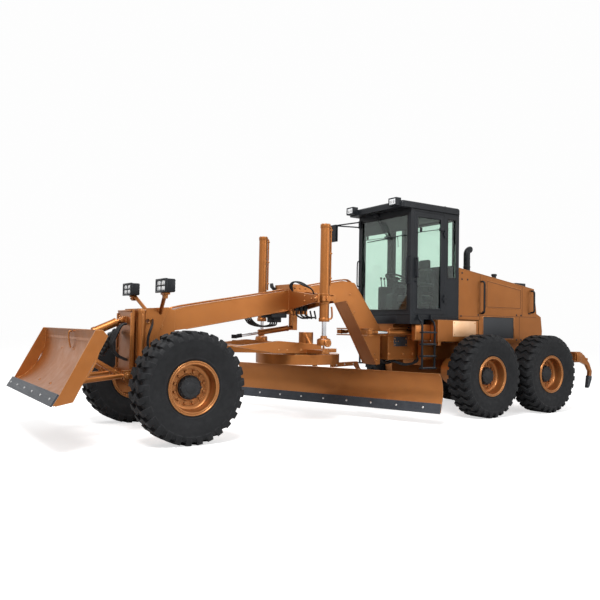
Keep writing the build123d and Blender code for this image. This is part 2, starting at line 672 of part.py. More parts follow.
def lift_cylinders():
    """Blade lift cylinders, each in a ring yoke between the saddle's forks."""
    z = LIFT_PIVOT_Z
    for side, hand in SIDES:
        y = side * LIFT_Y
        outer, inner = LIFT_R + 34, LIFT_R + 14
        ring = box(LIFT_X - outer, LIFT_X + outer, y - outer, y + outer, z - 34, z + 34)
        ring -= box(LIFT_X - inner, LIFT_X + inner, y - inner, y + inner, z - 40, z + 40)
        for end in (-1, 1):
            ring += bar((LIFT_X + end * (inner + 2), y, z), (LIFT_X + end * FORK_OUT, y, z), YOKE_PIN_R)
        ring -= bar((LIFT_X, y - outer - 5, z), (LIFT_X, y + outer + 5, z), YOKE_PIN_R + RUN_FIT)
        barrel = bar((LIFT_X, y, LIFT_LOW), (LIFT_X, y, LIFT_TOP), LIFT_R)
        barrel += bar((LIFT_X, y - outer, z), (LIFT_X, y + outer, z), YOKE_PIN_R)
        barrel -= bar((LIFT_X, y, LIFT_LOW - 5), (LIFT_X, y, LIFT_TOP - 60), LIFT_ROD_R + RUN_FIT)
        rod = bar((LIFT_X, y, LIFT_BALL_Z + 60), (LIFT_X, y, 2500), LIFT_ROD_R)
        cap = bar((LIFT_X, y, LIFT_BALL_Z - 15), (LIFT_X, y, LIFT_BALL_Z + 80), 95)
        cap -= bar((LIFT_X, y, LIFT_BALL_Z - 20), (LIFT_X, y, LIFT_BALL_Z + 60), 86)
        save(f"lift_yoke_{hand}", ring)
        save(f"lift_barrel_{hand}", barrel)
        save(f"lift_rod_{hand}", rod + cap)


def drawbar_ball():
    """The ball and its stud, carried by the bolster's bracket."""
    x, y, z = BALL
    body = Pos(x, y, z) * Sphere(BALL_R) + bar((x, y, z - 125), (x, y, z + 125), BALL_STUD_R)
    return body


def drawbar():
    x, y, z = BALL
    tongue = [(3420, -70), (3420, 70), (2950, 110), (2300, 450), (2300, 540), (1500, 540), (1500, -540),
              (2300, -540), (2300, -450), (2950, -110)]
    body = floor_plate(tongue, BAR_LOW, BAR_TOP)
    window = [(2750, 0), (2350, 340), (2260, 440), (1860, 440), (1860, -440), (2260, -440), (2350, -340)]
    body -= floor_plate(window, BAR_LOW - 5, BAR_TOP + 5)
    for side, _ in SIDES:
        rail = [(2950, 1170), (2230, 1250), (1500, 1200), (1500, 1075), (2300, 1075)]
        body += side_plate(rail, side * 440, side * 540)
        # ball studs under the lift rods
        body += box(LIFT_X - 60, LIFT_X + 60, side * 500, side * 930, 1080, 1130)
        body += bar((LIFT_X, side * LIFT_Y, 1120), (LIFT_X, side * LIFT_Y, LIFT_BALL_Z), 14)
        body += Pos(LIFT_X, side * LIFT_Y, LIFT_BALL_Z) * Sphere(24)
    # stud under the centre shift rod's eye
    x_end, y_end, z_end = CENTRE_SHIFT_END
    body += bar((x_end, y_end, BAR_TOP), (x_end, y_end, z_end - CENTRE_EYE_HALF - CENTRE_STUD_GAP), 34)
    # circle drive housing and its brace
    body += bar((1600, 270, 1170), (1600, 270, 1380), 110)
    body += bar((1640, 490, 1160), (1640, 340, 1330), 40)
    # guide shoes that carry the circle by its inner flange
    for k in range(4):
        turn = Rot(0, 0, 45 + 90 * k)
        shoe = box(440, 494, -60, 60, CIRCLE_TOP - 65, BAR_LOW + 2) + box(
            440, 534, -60, 60, CIRCLE_TOP - 65, CIRCLE_TOP - 30 - SEAT
        )
        body += Pos(CIRCLE_X, 0, 0) * turn * shoe
    # shoe plate ties the rear pair
    body += box(1150, 1500, -450, 450, BAR_LOW, BAR_TOP - 40)
    # ball socket, open at the front
    socket = bar((x, y, BAR_LOW - 20), (x, y, BAR_TOP - 10), 105)
    body += socket
    body -= bar((x, y, z - 200), (x, y, z + 200), 46)
    body -= Pos(x, y, z) * Sphere(BALL_R + BALL_GAP)
    return body


def circle():
    ring = Pos(CIRCLE_X, 0, (CIRCLE_LOW + CIRCLE_TOP) / 2) * Cylinder(CIRCLE_R, CIRCLE_TOP - CIRCLE_LOW)
    bore = Cylinder(CIRCLE_BORE, CIRCLE_TOP - CIRCLE_LOW + 10)
    ring -= Pos(CIRCLE_X, 0, (CIRCLE_LOW + CIRCLE_TOP) / 2) * bore
    lip = Pos(CIRCLE_X, 0, CIRCLE_TOP - 15) * Cylinder(CIRCLE_BORE + 5, 30)
    lip -= Pos(CIRCLE_X, 0, CIRCLE_TOP - 15) * Cylinder(500, 40)
    ring += lip
    arm = [
        (340, 350), (415, 350), (415, 765), (520, 838), (1250, 838),
        (1250, 905), (480, 905), (400, 800), (340, 760),
    ]
    for side, _ in SIDES:
        ring += side_plate(arm, side * 400, side * 460)
        ring += bar((390, side * 400, 400), (390, side * 640, 400), 30)
    return ring


def carrier():
    """Two uprights that hold the blade's slide rails and pitch on the circle's arms."""
    made = []
    for side, _ in SIDES:
        upright = box(345, 445, side * 470, side * 630, 340, CARRIER_TOP)
        for z in BLADE_RAILS:
            block = box(440, 520, side * 470, side * 630, z - 40, z + 30)
            gap = RAIL_HALF + SLIDE
            slot = box(455 - SLIDE, 495 + SLIDE, side * 460, side * 640, z - gap, z + gap)
            upright = upright + block - slot
        upright -= bar((390, side * 460, 400), (390, side * 640, 400), 30 + RUN_FIT)
        made.append(upright)
    barrel = pipe((487, -250, 560), (487, 760, 560), 28, 15 + RUN_FIT)
    made[0] = made[0] + barrel + box(440, 470, 480, 620, 535, 585)
    return made


def moldboard():
    arc = ThreePointArc((670, 0, BLADE_TOP), (549, 0, 520), (590, 0, 330))
    low = Line((590, 0, 330), (BLADE_TIP_X - 8, 0, BLADE_TIP + 23))
    under = Line((BLADE_TIP_X - 8, 0, BLADE_TIP + 23), (BLADE_TIP_X - 27, 0, BLADE_TIP + 17))
    back_low = Line((BLADE_TIP_X - 27, 0, BLADE_TIP + 17), (571, 0, 324))
    back = ThreePointArc((571, 0, 324), (529, 0, 520), (652, 0, BLADE_TOP + 4))
    top = Line((652, 0, BLADE_TOP + 4), (670, 0, BLADE_TOP))
    outline = [arc, low, under, back_low, back, top]
    face = make_face(Wire([edge for line in outline for edge in line.edges()]))
    plate = Pos(0, BLADE_HALF, 0) * extrude(face, amount=2 * BLADE_HALF, dir=(0, -1, 0))
    for z in BLADE_RAILS:
        plate += box(455, 495, -1370, 1370, z - RAIL_HALF, z + RAIL_HALF)
    for side, _ in SIDES:
        gusset = [(455, 370), (455, 662), (574, 672), (548, 600), (538, 480), (552, 370)]
        plate += side_plate(gusset, side * 1340, side * 1370)
    plate += bar((487, -1350, 560), (487, 250, 560), 15)
    return plate


def cutting_edge():
    points = [(590, 330), (BLADE_TIP_X, BLADE_TIP), (BLADE_TIP_X + 24, BLADE_TIP + 8), (614, 338)]
    return side_plate([(x + SEAT, z) for x, z in points], -BLADE_HALF, BLADE_HALF)


def blade_group():
    turn = Pos(CIRCLE_X, 0, 0) * Rot(0, 0, BLADE_ANGLE) * Pos(-CIRCLE_X, 0, 0)
    save("circle", turn * circle())
    save("blade_carrier", [turn * piece for piece in carrier()])
    save("moldboard", turn * moldboard())
    save("cutting_edge", turn * cutting_edge())


def centre_shift():
    """Cylinder that swings the drawbar sideways."""
    start, end = CENTRE_SHIFT_START, CENTRE_SHIFT_END
    x, y, z = start
    barrel = bar(along(start, end, 75), along(start, end, 560), 42)
    barrel += bar(start, along(start, end, 90), 24)
    barrel += bar((x, y - 36, z), (x, y + 36, z), CENTRE_PIN_R * 1.8)
    barrel -= bar((x, y - 60, z), (x, y + 60, z), CENTRE_PIN_R + RUN_FIT)
    barrel -= bar(along(start, end, 95), along(start, end, 570), 24 + RUN_FIT)
    rod = bar(along(start, end, 240), end, 24)
    rod += bar((end[0], end[1], end[2] - CENTRE_EYE_HALF), (end[0], end[1], end[2] + CENTRE_EYE_HALF), 42)
    save("centre_shift_barrel", barrel)
    save("centre_shift_rod", rod)


# ---- front axle ------------------------------------------------------------
def front_axle():
    body = box(3800, 3940, -485, 485, 710, 860)
    body += bar((3783, 0, 800), (3957, 0, 800), 110)
    body -= bar((3700, 0, 800), (4040, 0, 800), 45 + SEAT)
    for side, _ in SIDES:
        body += box(3835, 3905, side * 460, side * LEAN_Y, 634, 754)
        body += bar((3835, side * LEAN_Y, TYRE_R), (3905, side * LEAN_Y, TYRE_R), 60)
        body -= bar((3700, side * LEAN_Y, TYRE_R), (4000, side * LEAN_Y, TYRE_R), 25 + RUN_FIT)
    return body


def steering():
    for side, hand in SIDES:
        bracket = bar((3780, side * LEAN_Y, TYRE_R), (3960, side * LEAN_Y, TYRE_R), 25)
        for x in (3780, 3915):
            bracket += box(x, x + 45, side * 530, side * 700, 634, 754)
            bracket += bar((x, side * LEAN_Y, TYRE_R), (x + 45, side * LEAN_Y, TYRE_R), 60)
        bracket += box(3780, 3960, side * 640, side * 700, 560, 830)
        for low in (540, 818):
            bracket += box(3810, 3930, side * 640, side * STEER_Y, low, low + 30)
            bracket += Pos(FRONT_AXLE_X, side * STEER_Y, low + 15) * Cylinder(60, 30)
        bracket += bar((FRONT_AXLE_X, side * STEER_Y, 545), (FRONT_AXLE_X, side * STEER_Y, 843), 32)
        knuckle = bar((FRONT_AXLE_X, side * STEER_Y, 576), (FRONT_AXLE_X, side * STEER_Y, 812), 68)
        knuckle += bar(
            (FRONT_AXLE_X, side * STEER_Y, TYRE_R), (FRONT_AXLE_X, side * SPINDLE_END, TYRE_R), SPINDLE_R
        )
        knuckle += box(3660, FRONT_AXLE_X, side * 780, side * 820, 590, 625)
        knuckle -= bar((FRONT_AXLE_X, side * STEER_Y, 500), (FRONT_AXLE_X, side * STEER_Y, 900), 32 + RUN_FIT)
        save(f"lean_bracket_{hand}", bracket)
        save(f"knuckle_{hand}", knuckle)


# ---- scoop -----------------------------------------------------------------
def scoop_carriage():
    body = box(4302, 4332, -290, 290, 742, 1640)
    for side, _ in SIDES:
        for y0, y1 in ((98, 118), (162, 182)):
            body += box(4256, 4304, side * y0, side * y1, 900, 1500)
        for y0, y1 in ((245, 268), (332, 355)):
            body += box(4320, 4440, side * y0, side * y1, 742, 860)
        body += box(4302, 4332, side * 280, side * 355, 742, 860)
        x, z = SCOOP_PIVOT
        body += bar((x, side * 245, z), (x, side * 355, z), 24)
        x, z = TILT_TOP
        body += side_plate([(4320, z - 60), (4320, z + 60), (x, z + 38), (x + 38, z), (x, z - 38)],
                           side * TILT_LUG, side * (TILT_LUG + 18))
        body += bar((x, 0, z), (x, side * (TILT_LUG + 18), z), 20)
        # foot that the vertical rods push
        body += box(4180, 4310, side * 300, side * 345, 775, 800)
        body += bar((4215, side * 315, 780), (4215, side * 315, 1495), 24)
    return body


def scoop():
    back = ThreePointArc((5060, 0, 1375), (5118, 0, 960), (5456, 0, 652))
    lip = Line((5456, 0, 652), (5462, 0, 634))
    outside = ThreePointArc((5462, 0, 634), (5102, 0, 955), (5042, 0, 1375))
    top = Line((5042, 0, 1375), (5060, 0, 1375))
    face = make_face(Wire([*back.edges(), *lip.edges(), *outside.edges(), *top.edges()]))
    body = Pos(0, SCOOP_HALF, 0) * extrude(face, amount=2 * SCOOP_HALF, dir=(0, -1, 0))
    body += side_plate([(5449.7, 683.8), (5518, 573), (5504, 564.6), (5436, 675.4)], -SCOOP_HALF, SCOOP_HALF)
    cheek = [
        (5090, 1380), (5010, 1380), (4950, 1320), (5310, 600), (5498, 568), (5510, 585.8), (5449.7, 683.8),
    ]
    for side, _ in SIDES:
        body += side_plate(cheek, side * (SCOOP_HALF - SCOOP_T), side * SCOOP_HALF)
        pivot, foot = (SCOOP_PIVOT[0], side * ARM_Y, SCOOP_PIVOT[1]), (5330, side * ARM_Y, 700)
        arm = bar(along(pivot, foot, 70), foot, 36) + bar(pivot, foot, 24)
        x, z = SCOOP_PIVOT
        arm += bar((x, side * 273, z), (x, side * 327, z), 48)
        arm += bar((4490, side * ARM_Y, 815), (5055, side * ARM_Y, 1150), 28)
        arm -= bar((x, side * 260, z), (x, side * 340, z), 24 + RUN_FIT)
        body += arm
        ear = [(4850, 1250), (4850, 1330), (4900, 1340), (5041, 1300), (5048, 1150)]
        body += side_plate(ear, side * SCOOP_EAR_Y, side * (SCOOP_EAR_Y + 16))
    # stiffener across the back
    lip = [(5045, 1330), (4990, 1330), (4990, 1250), (5052, 1250)]
    body += side_plate(lip, -SCOOP_HALF + 20, SCOOP_HALF - 20)
    return body


def scoop_edge():
    return side_plate([(5450, 684), (5528.6, 556.2), (5549, 568.8), (5470.4, 696.6)], -SCOOP_HALF, SCOOP_HALF)


def tilt_cylinder():
    start = (TILT_TOP[0], 0, TILT_TOP[1])
    end = (SCOOP_EAR[0], 0, SCOOP_EAR[1])
    barrel, rod = cylinder_pair(start, end, (0, 1, 0), TILT_R, 24, 20, 65, 400, 250)
    save("scoop_tilt_barrel", barrel)
    save("scoop_tilt_rod", rod)


# ---- everything ------------------------------------------------------------
os.makedirs("parts", exist_ok=True)
wheels()
rear_frame()
side_boxes()
axle()
engine()
save("hood", hood())
save("engine_grilles", grilles())
save("ladders_rails_exhaust", rails_and_ladders() + [exhaust()])
ripper()
ripper_cylinder()
articulation_cylinders()
save("cab_shell", cab_shell())
save("cab_roof", cab_roof())
save("cab_windows", cab_windows())
doors()
save("cab_interior", cab_interior())
front_frame()
save("headlamps", headlamps())
lift_cylinders()
save("drawbar_ball", drawbar_ball())
save("drawbar", drawbar())
blade_group()
centre_shift()
save("front_axle", front_axle())
steering()
save("scoop_carriage", scoop_carriage())
save("scoop", scoop())
save("scoop_edge", scoop_edge())
tilt_cylinder()
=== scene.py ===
"""Looks of the motor grader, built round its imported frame. Metres; +X forward, +Y left, +Z up."""
import json
from itertools import product
from math import cos, pi, radians, sin

import bmesh
import bpy
from mathutils import Matrix, Vector


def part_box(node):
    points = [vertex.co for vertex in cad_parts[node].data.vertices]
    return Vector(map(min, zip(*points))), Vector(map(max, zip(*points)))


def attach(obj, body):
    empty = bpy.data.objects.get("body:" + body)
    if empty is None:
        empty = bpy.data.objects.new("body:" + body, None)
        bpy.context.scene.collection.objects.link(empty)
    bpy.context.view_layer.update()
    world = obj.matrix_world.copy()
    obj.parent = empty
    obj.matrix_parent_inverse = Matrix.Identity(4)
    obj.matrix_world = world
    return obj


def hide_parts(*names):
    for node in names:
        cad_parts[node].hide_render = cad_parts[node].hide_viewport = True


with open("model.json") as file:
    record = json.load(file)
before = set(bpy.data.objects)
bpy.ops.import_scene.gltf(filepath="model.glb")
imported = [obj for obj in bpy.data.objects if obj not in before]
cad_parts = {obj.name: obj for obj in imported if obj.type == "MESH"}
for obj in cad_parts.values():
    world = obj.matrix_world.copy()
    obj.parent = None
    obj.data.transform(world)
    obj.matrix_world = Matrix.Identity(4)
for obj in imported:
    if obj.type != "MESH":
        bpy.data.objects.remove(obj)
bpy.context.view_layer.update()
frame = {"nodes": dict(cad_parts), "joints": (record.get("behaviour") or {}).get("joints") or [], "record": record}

X, Y, Z = Vector((1, 0, 0)), Vector((0, 1, 0)), Vector((0, 0, 1))
SIDES = ((1, "left"), (-1, "right"))
JOINTS = {joint["name"]: joint for joint in frame["joints"]}


def joint_point(name):
    return Vector(JOINTS[name]["pos_m"])


# ---- camera, light and floor ----
CAMERA_AT = Vector((7.173, 8.521, 1.463))
CAMERA_YAW = radians(-123.453)
CAMERA_PITCH = radians(2.335)
CAMERA_ROLL = radians(1.076)
LENS_MM, SENSOR_MM = 39.07, 36.0


def add_camera():
    forward = Vector((cos(CAMERA_PITCH) * cos(CAMERA_YAW), cos(CAMERA_PITCH) * sin(CAMERA_YAW),
                      sin(CAMERA_PITCH)))
    right = forward.cross(Z).normalized()
    up = right.cross(forward)
    rolled_right = right * cos(CAMERA_ROLL) + up * sin(CAMERA_ROLL)
    rolled_up = up * cos(CAMERA_ROLL) - right * sin(CAMERA_ROLL)
    turn = Matrix((rolled_right, rolled_up, -forward)).transposed()
    data = bpy.data.cameras.new("camera")
    data.lens, data.sensor_width = LENS_MM, SENSOR_MM
    camera = bpy.data.objects.new("camera", data)
    camera.matrix_world = Matrix.Translation(CAMERA_AT) @ turn.to_4x4()
    bpy.context.scene.collection.objects.link(camera)
    bpy.context.scene.camera = camera


def add_area_light(name, at, target, size, watts):
    data = bpy.data.lights.new(name, "AREA")
    data.shape = "DISK"
    data.size, data.energy = size, watts
    lamp = bpy.data.objects.new(name, data)
    lamp.location = at
    lamp.rotation_euler = (Vector(target) - Vector(at)).to_track_quat("-Z", "Y").to_euler()
    bpy.context.scene.collection.objects.link(lamp)


AMBIENT = 0.45               # world light on the object
BACKDROP = (0.985, 0.985, 0.985, 1)
FLOOR_GLOW = 0.62            # what the camera sees on top of the lit floor


def add_node(nodes, kind, **sockets):
    """A shader node of a kind, with some of its sockets set."""
    node = nodes.new(f"ShaderNode{kind}")
    for socket, value in sockets.items():
        node.inputs[socket].default_value = value
    return node


def light_path_mix(nodes, links, outputs):
    """1 for rays of any of the named kinds, 0 for the rest."""
    path = add_node(nodes, "LightPath")
    total = None
    for output in outputs:
        if total is None:
            total = path.outputs[output]
            continue
        add = add_node(nodes, "Math")
        add.operation = "MAXIMUM"
        links.new(total, add.inputs[0])
        links.new(path.outputs[output], add.inputs[1])
        total = add.outputs[0]
    return total


def add_world():
    world = bpy.data.worlds.new("studio")
    bpy.context.scene.world = world
    world.use_nodes = True
    nodes, links = world.node_tree.nodes, world.node_tree.links
    nodes.clear()
    lit = add_node(nodes, "Background", Color=(1, 1, 1, 1), Strength=AMBIENT)
    seen = add_node(nodes, "Background", Color=BACKDROP, Strength=1.0)
    mix, out = add_node(nodes, "MixShader"), add_node(nodes, "OutputWorld")
    factor = light_path_mix(nodes, links, ("Is Camera Ray", "Is Glossy Ray", "Is Transmission Ray"))
    links.new(factor, mix.inputs["Fac"])
    links.new(lit.outputs[0], mix.inputs[1])
    links.new(seen.outputs[0], mix.inputs[2])
    links.new(mix.outputs[0], out.inputs["Surface"])


def add_floor():
    bpy.ops.mesh.primitive_plane_add(size=160, location=(0, 0, 0))
    floor = bpy.context.object
    floor.name = "floor"
    material = bpy.data.materials.new("floor")
    material.use_nodes = True
    nodes, links = material.node_tree.nodes, material.node_tree.links
    nodes.clear()
    diffuse = add_node(nodes, "BsdfDiffuse", Color=(0.8, 0.8, 0.8, 1))
    glow = add_node(nodes, "Emission", Color=(1, 1, 1, 1))
    add, scale = add_node(nodes, "AddShader"), add_node(nodes, "Math")
    scale.operation = "MULTIPLY"
    scale.inputs[1].default_value = FLOOR_GLOW
    links.new(light_path_mix(nodes, links, ("Is Camera Ray",)), scale.inputs[0])
    links.new(scale.outputs[0], glow.inputs["Strength"])
    links.new(diffuse.outputs[0], add.inputs[0])
    links.new(glow.outputs[0], add.inputs[1])
    out = add_node(nodes, "OutputMaterial")
    links.new(add.outputs[0], out.inputs["Surface"])
    floor.data.materials.append(material)


add_camera()
add_world()
add_floor()
add_area_light("key", (7, 6, 10), (0.5, 0, 1), 5, 1350)
add_area_light("fill", (-6, 13, 6), (-1, 0, 1), 8, 420)
add_area_light("back", (-6, -10, 9), (0, 0, 1), 8, 420)
bpy.context.scene.view_settings.view_transform = "Standard"


# ---- materials ----
class Finish:
    """A principled material whose colour, roughness and bump vary over the surface."""

    def __init__(self, name, roughness=0.5, metallic=0.0, **sockets):
        self.material = bpy.data.materials.new(name)
        self.material.use_nodes = True
        tree = self.material.node_tree
        self.nodes, self.links = tree.nodes, tree.links
        self.shader = self.nodes["Principled BSDF"]
        self.shader.inputs["Metallic"].default_value = metallic
        self.shader.inputs["Roughness"].default_value = roughness
        for socket, value in sockets.items():
            self.shader.inputs[socket.replace("_", " ")].default_value = value
        self.place = self.node("TexCoord").outputs["Object"]
        self.height = None

    def node(self, kind, **sockets):
        return add_node(self.nodes, kind, **sockets)

    def texture(self, kind, stretch=None, **sockets):
        """A texture node in the machine's own coordinates."""
        texture, place = self.node(f"Tex{kind}", **sockets), self.place
        if stretch:
            mapping = self.node("Mapping", Scale=stretch)
            self.links.new(place, mapping.inputs["Vector"])
            place = mapping.outputs[0]
        self.links.new(place, texture.inputs["Vector"])
        return texture

    def noise(self, scale, detail=4.0, roughness=0.55, stretch=None):
        texture = self.texture("Noise", stretch, Scale=scale, Detail=detail, Roughness=roughness)
        return texture.outputs["Fac"]

    def tones(self, value, dark, light, end=0.7):
        """Dark where the value is under 0.3, light where it is over the end."""
        ramp = self.node("ValToRGB")
        for element, spot, colour in zip(ramp.color_ramp.elements, (0.3, end), (dark, light)):
            element.position = spot
            element.color = (*colour, 1)
        self.links.new(value, ramp.inputs[0])
        return ramp.outputs[0]

    def level(self, value, low, high, start=0.3, end=0.7):
        """A value that runs from low to high as the input runs from start to end."""
        spread = self.node("MapRange")
        for socket, number in zip(("From Min", "From Max", "To Min", "To Max"), (start, end, low, high)):
            spread.inputs[socket].default_value = number
        self.links.new(value, spread.inputs["Value"])
        return spread.outputs[0]

    def blend(self, factor, first, second):
        mix = self.node("Mix")
        mix.data_type = "RGBA"
        self.links.new(factor, mix.inputs[0])
        for socket, colour in ((6, first), (7, second)):
            if isinstance(colour, tuple):
                mix.inputs[socket].default_value = (*colour, 1)
            else:
                self.links.new(colour, mix.inputs[socket])
        return mix.outputs[2]

    def bevel(self, radius):
        """The surface's direction, turned smoothly round edges."""
        bevel = self.node("Bevel", Radius=radius)
        bevel.samples = 4
        return bevel.outputs[0]

    def edges(self, radius):
        """1 along convex and concave edges, 0 on flat faces."""
        dot = self.node("VectorMath")
        dot.operation = "DOT_PRODUCT"
        self.links.new(self.bevel(radius), dot.inputs[0])
        self.links.new(self.node("NewGeometry").outputs["Normal"], dot.inputs[1])
        return self.level(dot.outputs["Value"], 1.0, 0.0, 0.8, 0.995)

    def low_dust(self, top):
        """1 low down, 0 above top."""
        split = self.node("SeparateXYZ")
        self.links.new(self.place, split.inputs[0])
        return self.level(split.outputs["Z"], 1.0, 0.0, 0.05, top)

    def bump(self, value, strength, distance=0.002):
        bump = self.node("Bump", Strength=strength, Distance=distance)
        self.links.new(value, bump.inputs["Height"])
        if self.height is not None:
            self.links.new(self.height, bump.inputs["Normal"])
        self.height = bump.outputs[0]
        self.links.new(self.height, self.shader.inputs["Normal"])

    def rounded(self, radius):
        """Rounds the look of sharp edges."""
        self.height = self.bevel(radius)
        self.links.new(self.height, self.shader.inputs["Normal"])

    def set(self, socket, value):
        self.links.new(value, self.shader.inputs[socket])

    def mottle(self, scale, detail, dark, light):
        """Colours the surface with two tones of one noise."""
        self.set("Base Color", self.tones(self.noise(scale, detail), dark, light))


def bronze_paint():
    """Metallic brown-orange enamel, darker in the shade of its flakes, worn pale at edges."""
    f = Finish("bronze_paint", 0.34, 0.72)
    f.rounded(0.006)
    cloud = f.noise(1.3, 5)
    colour = f.tones(cloud, (0.315, 0.108, 0.024), (0.39, 0.14, 0.034))
    dust = f.noise(6.0, 8, 0.7)
    colour = f.blend(f.level(dust, 0.0, 0.35, 0.5, 0.8), colour, (0.3, 0.125, 0.045))
    colour = f.blend(f.level(f.low_dust(0.9), 0.0, 0.22, 0.0, 1.0), colour, (0.28, 0.15, 0.075))
    colour = f.blend(f.edges(0.007), colour, (0.66, 0.34, 0.14))
    f.set("Base Color", colour)
    f.set("Roughness", f.level(f.noise(9, 6, 0.6), 0.28, 0.42))
    f.bump(f.noise(420, 2), 0.05, 0.0006)
    f.bump(f.noise(30, 4), 0.04, 0.001)
    return f.material


def pale_panel():
    f = Finish("pale_panel", 0.4, 0.5)
    f.mottle(3, 5, (0.74, 0.42, 0.22), (0.86, 0.56, 0.34))
    f.bump(f.noise(60, 4), 0.05, 0.001)
    return f.material


def black_paint():
    """Charcoal enamel of the cab and rails."""
    f = Finish("black_paint", 0.34, 0.0, Specular_IOR_Level=0.22)
    f.rounded(0.006)
    colour = f.tones(f.noise(2.0, 6), (0.006, 0.007, 0.009), (0.012, 0.014, 0.017))
    colour = f.blend(f.edges(0.006), colour, (0.045, 0.049, 0.055))
    colour = f.blend(f.level(f.noise(7, 8, 0.7), 0.0, 0.2, 0.55, 0.8), colour, (0.03, 0.03, 0.029))
    f.set("Base Color", colour)
    f.set("Roughness", f.level(f.noise(12, 6), 0.32, 0.5))
    f.bump(f.noise(300, 2), 0.06, 0.0006)
    return f.material


def rubber():
    """Tyre rubber, greyer with dust on its sidewalls."""
    f = Finish("tyre_rubber", 0.55, 0.0, Specular_IOR_Level=0.22)
    f.rounded(0.005)
    colour = f.tones(f.noise(5, 8, 0.65), (0.006, 0.0065, 0.0075), (0.013, 0.0135, 0.015), 0.75)
    colour = f.blend(f.edges(0.008), colour, (0.036, 0.037, 0.04))
    colour = f.blend(f.level(f.noise(14, 8, 0.7), 0.0, 0.25, 0.55, 0.8), colour, (0.034, 0.033, 0.031))
    f.set("Base Color", colour)
    f.set("Roughness", f.level(f.noise(18, 6), 0.52, 0.75))
    f.bump(f.noise(220, 3), 0.12, 0.001)
    f.bump(f.noise(26, 5), 0.1, 0.002)
    return f.material


def hose_rubber():
    f = Finish("hose_rubber", 0.45, 0.0, Specular_IOR_Level=0.25)
    f.mottle(20, 5, (0.005, 0.005, 0.006), (0.012, 0.012, 0.013))
    f.bump(f.texture("Wave", Scale=90).outputs["Fac"], 0.15, 0.001)
    return f.material


def edge_steel():
    """Dark wear steel, scratched along its length."""
    f = Finish("edge_steel", 0.44, 0.6)
    f.rounded(0.003)
    colour = f.tones(f.noise(7, 8, 0.7), (0.03, 0.034, 0.042), (0.055, 0.061, 0.072))
    scratch = f.noise(3.0, 8, 0.75, (1.0, 1.0, 60.0))
    colour = f.blend(f.level(scratch, 0.0, 0.5, 0.52, 0.72), colour, (0.11, 0.118, 0.13))
    colour = f.blend(f.edges(0.004), colour, (0.32, 0.33, 0.34))
    f.set("Base Color", colour)
    f.set("Roughness", f.level(scratch, 0.34, 0.58))
    f.bump(scratch, 0.12, 0.001)
    return f.material


def bright_steel():
    f = Finish("bright_steel", 0.28, 1.0)
    f.mottle(30, 6, (0.5, 0.5, 0.5), (0.72, 0.72, 0.71))
    f.set("Roughness", f.level(f.noise(50, 5), 0.2, 0.4))
    return f.material


def chrome():
    f = Finish("chrome", 0.1, 1.0)
    f.mottle(6, 4, (0.62, 0.63, 0.65), (0.8, 0.81, 0.83))
    f.set("Roughness", f.level(f.noise(12, 6, 0.6, (1, 1, 0.2)), 0.06, 0.2))
    return f.material


def cab_glass():
    """Clear green-tinted safety glass, with faint smears."""
    f = Finish("cab_glass", 0.0, 0.0, IOR=1.45, Transmission_Weight=1.0)
    f.mottle(2, 4, (0.7, 0.86, 0.77), (0.76, 0.9, 0.82))
    f.set("Roughness", f.level(f.noise(5, 8, 0.7), 0.0, 0.03))
    return f.material


def interior_plastic():
    f = Finish("interior_plastic", 0.6, 0.0, Specular_IOR_Level=0.3)
    f.rounded(0.01)
    f.mottle(5, 5, (0.008, 0.009, 0.01), (0.018, 0.019, 0.021))
    f.bump(f.noise(260, 2), 0.2, 0.001)
    return f.material


def seat_fabric():
    f = Finish("seat_fabric", 0.85, 0.0, Sheen_Weight=0.3)
    weave = f.texture("Checker", Scale=320).outputs["Fac"]
    f.set("Base Color", f.blend(weave, (0.014, 0.015, 0.018), (0.03, 0.031, 0.035)))
    f.bump(weave, 0.3, 0.001)
    return f.material


def cast_iron():
    f = Finish("cast_iron", 0.5, 0.2, Specular_IOR_Level=0.3)
    f.mottle(8, 8, (0.01, 0.011, 0.012), (0.026, 0.027, 0.03))
    f.bump(f.noise(80, 6), 0.3, 0.002)
    return f.material


def lamp_glass():
    """Clear lamp lens with fine flutes."""
    f = Finish("lamp_glass", 0.08, 0.1, Coat_Weight=0.8, Coat_Roughness=0.03)
    wave = f.texture("Wave", Scale=26)
    wave.bands_direction = "Z"
    f.set("Base Color", f.blend(wave.outputs["Fac"], (0.72, 0.75, 0.77), (0.9, 0.92, 0.93)))
    f.bump(wave.outputs["Fac"], 0.3, 0.002)
    return f.material


def mesh_screen():
    """Dark perforated screen of the radiator openings, its holes painted near black as painted shade."""
    f = Finish("mesh_screen", 0.55, 0.2)
    f.rounded(0.004)
    dots = f.texture("Voronoi", Scale=60, Randomness=0.0)
    # the holes are painted near black, painted shade in place of real openings; the same mask also dips them in
    # the bump
    hole_and_painted_shade = f.level(dots.outputs["Distance"], 0.0, 1.0, 0.25, 0.32)
    f.set("Base Color", f.blend(hole_and_painted_shade, (0.003, 0.003, 0.004), (0.022, 0.024, 0.028)))
    f.bump(hole_and_painted_shade, 0.6, 0.002)
    return f.material


MAKERS = (bronze_paint, pale_panel, black_paint, rubber, hose_rubber, edge_steel, bright_steel, chrome,
          cab_glass, interior_plastic, seat_fabric, cast_iron, lamp_glass, mesh_screen)
FINISH = {maker.__name__: maker() for maker in MAKERS}
SLOT_FINISH = {
    "body_paint": "bronze_paint", "black_paint": "black_paint", "dark_metal": "edge_steel",
    "chrome": "chrome",
    "tyre": "rubber", "glass": "cab_glass", "cast": "cast_iron", "interior": "interior_plastic",
    "lamp": "black_paint",
}
SMOOTH_ANGLE = radians(35)


def dress_cad_nodes():
    for part in frame["record"]["subparts"]:
        node = frame["nodes"][part["node"]]
        finish = FINISH[SLOT_FINISH[part["material_slot"]]]
        if not node.data.materials:
            node.data.materials.append(finish)
        for index in range(len(node.data.materials)):
            node.data.materials[index] = finish
        node.data.shade_smooth()
        node.data.set_sharp_from_angle(angle=SMOOTH_ANGLE)


dress_cad_nodes()


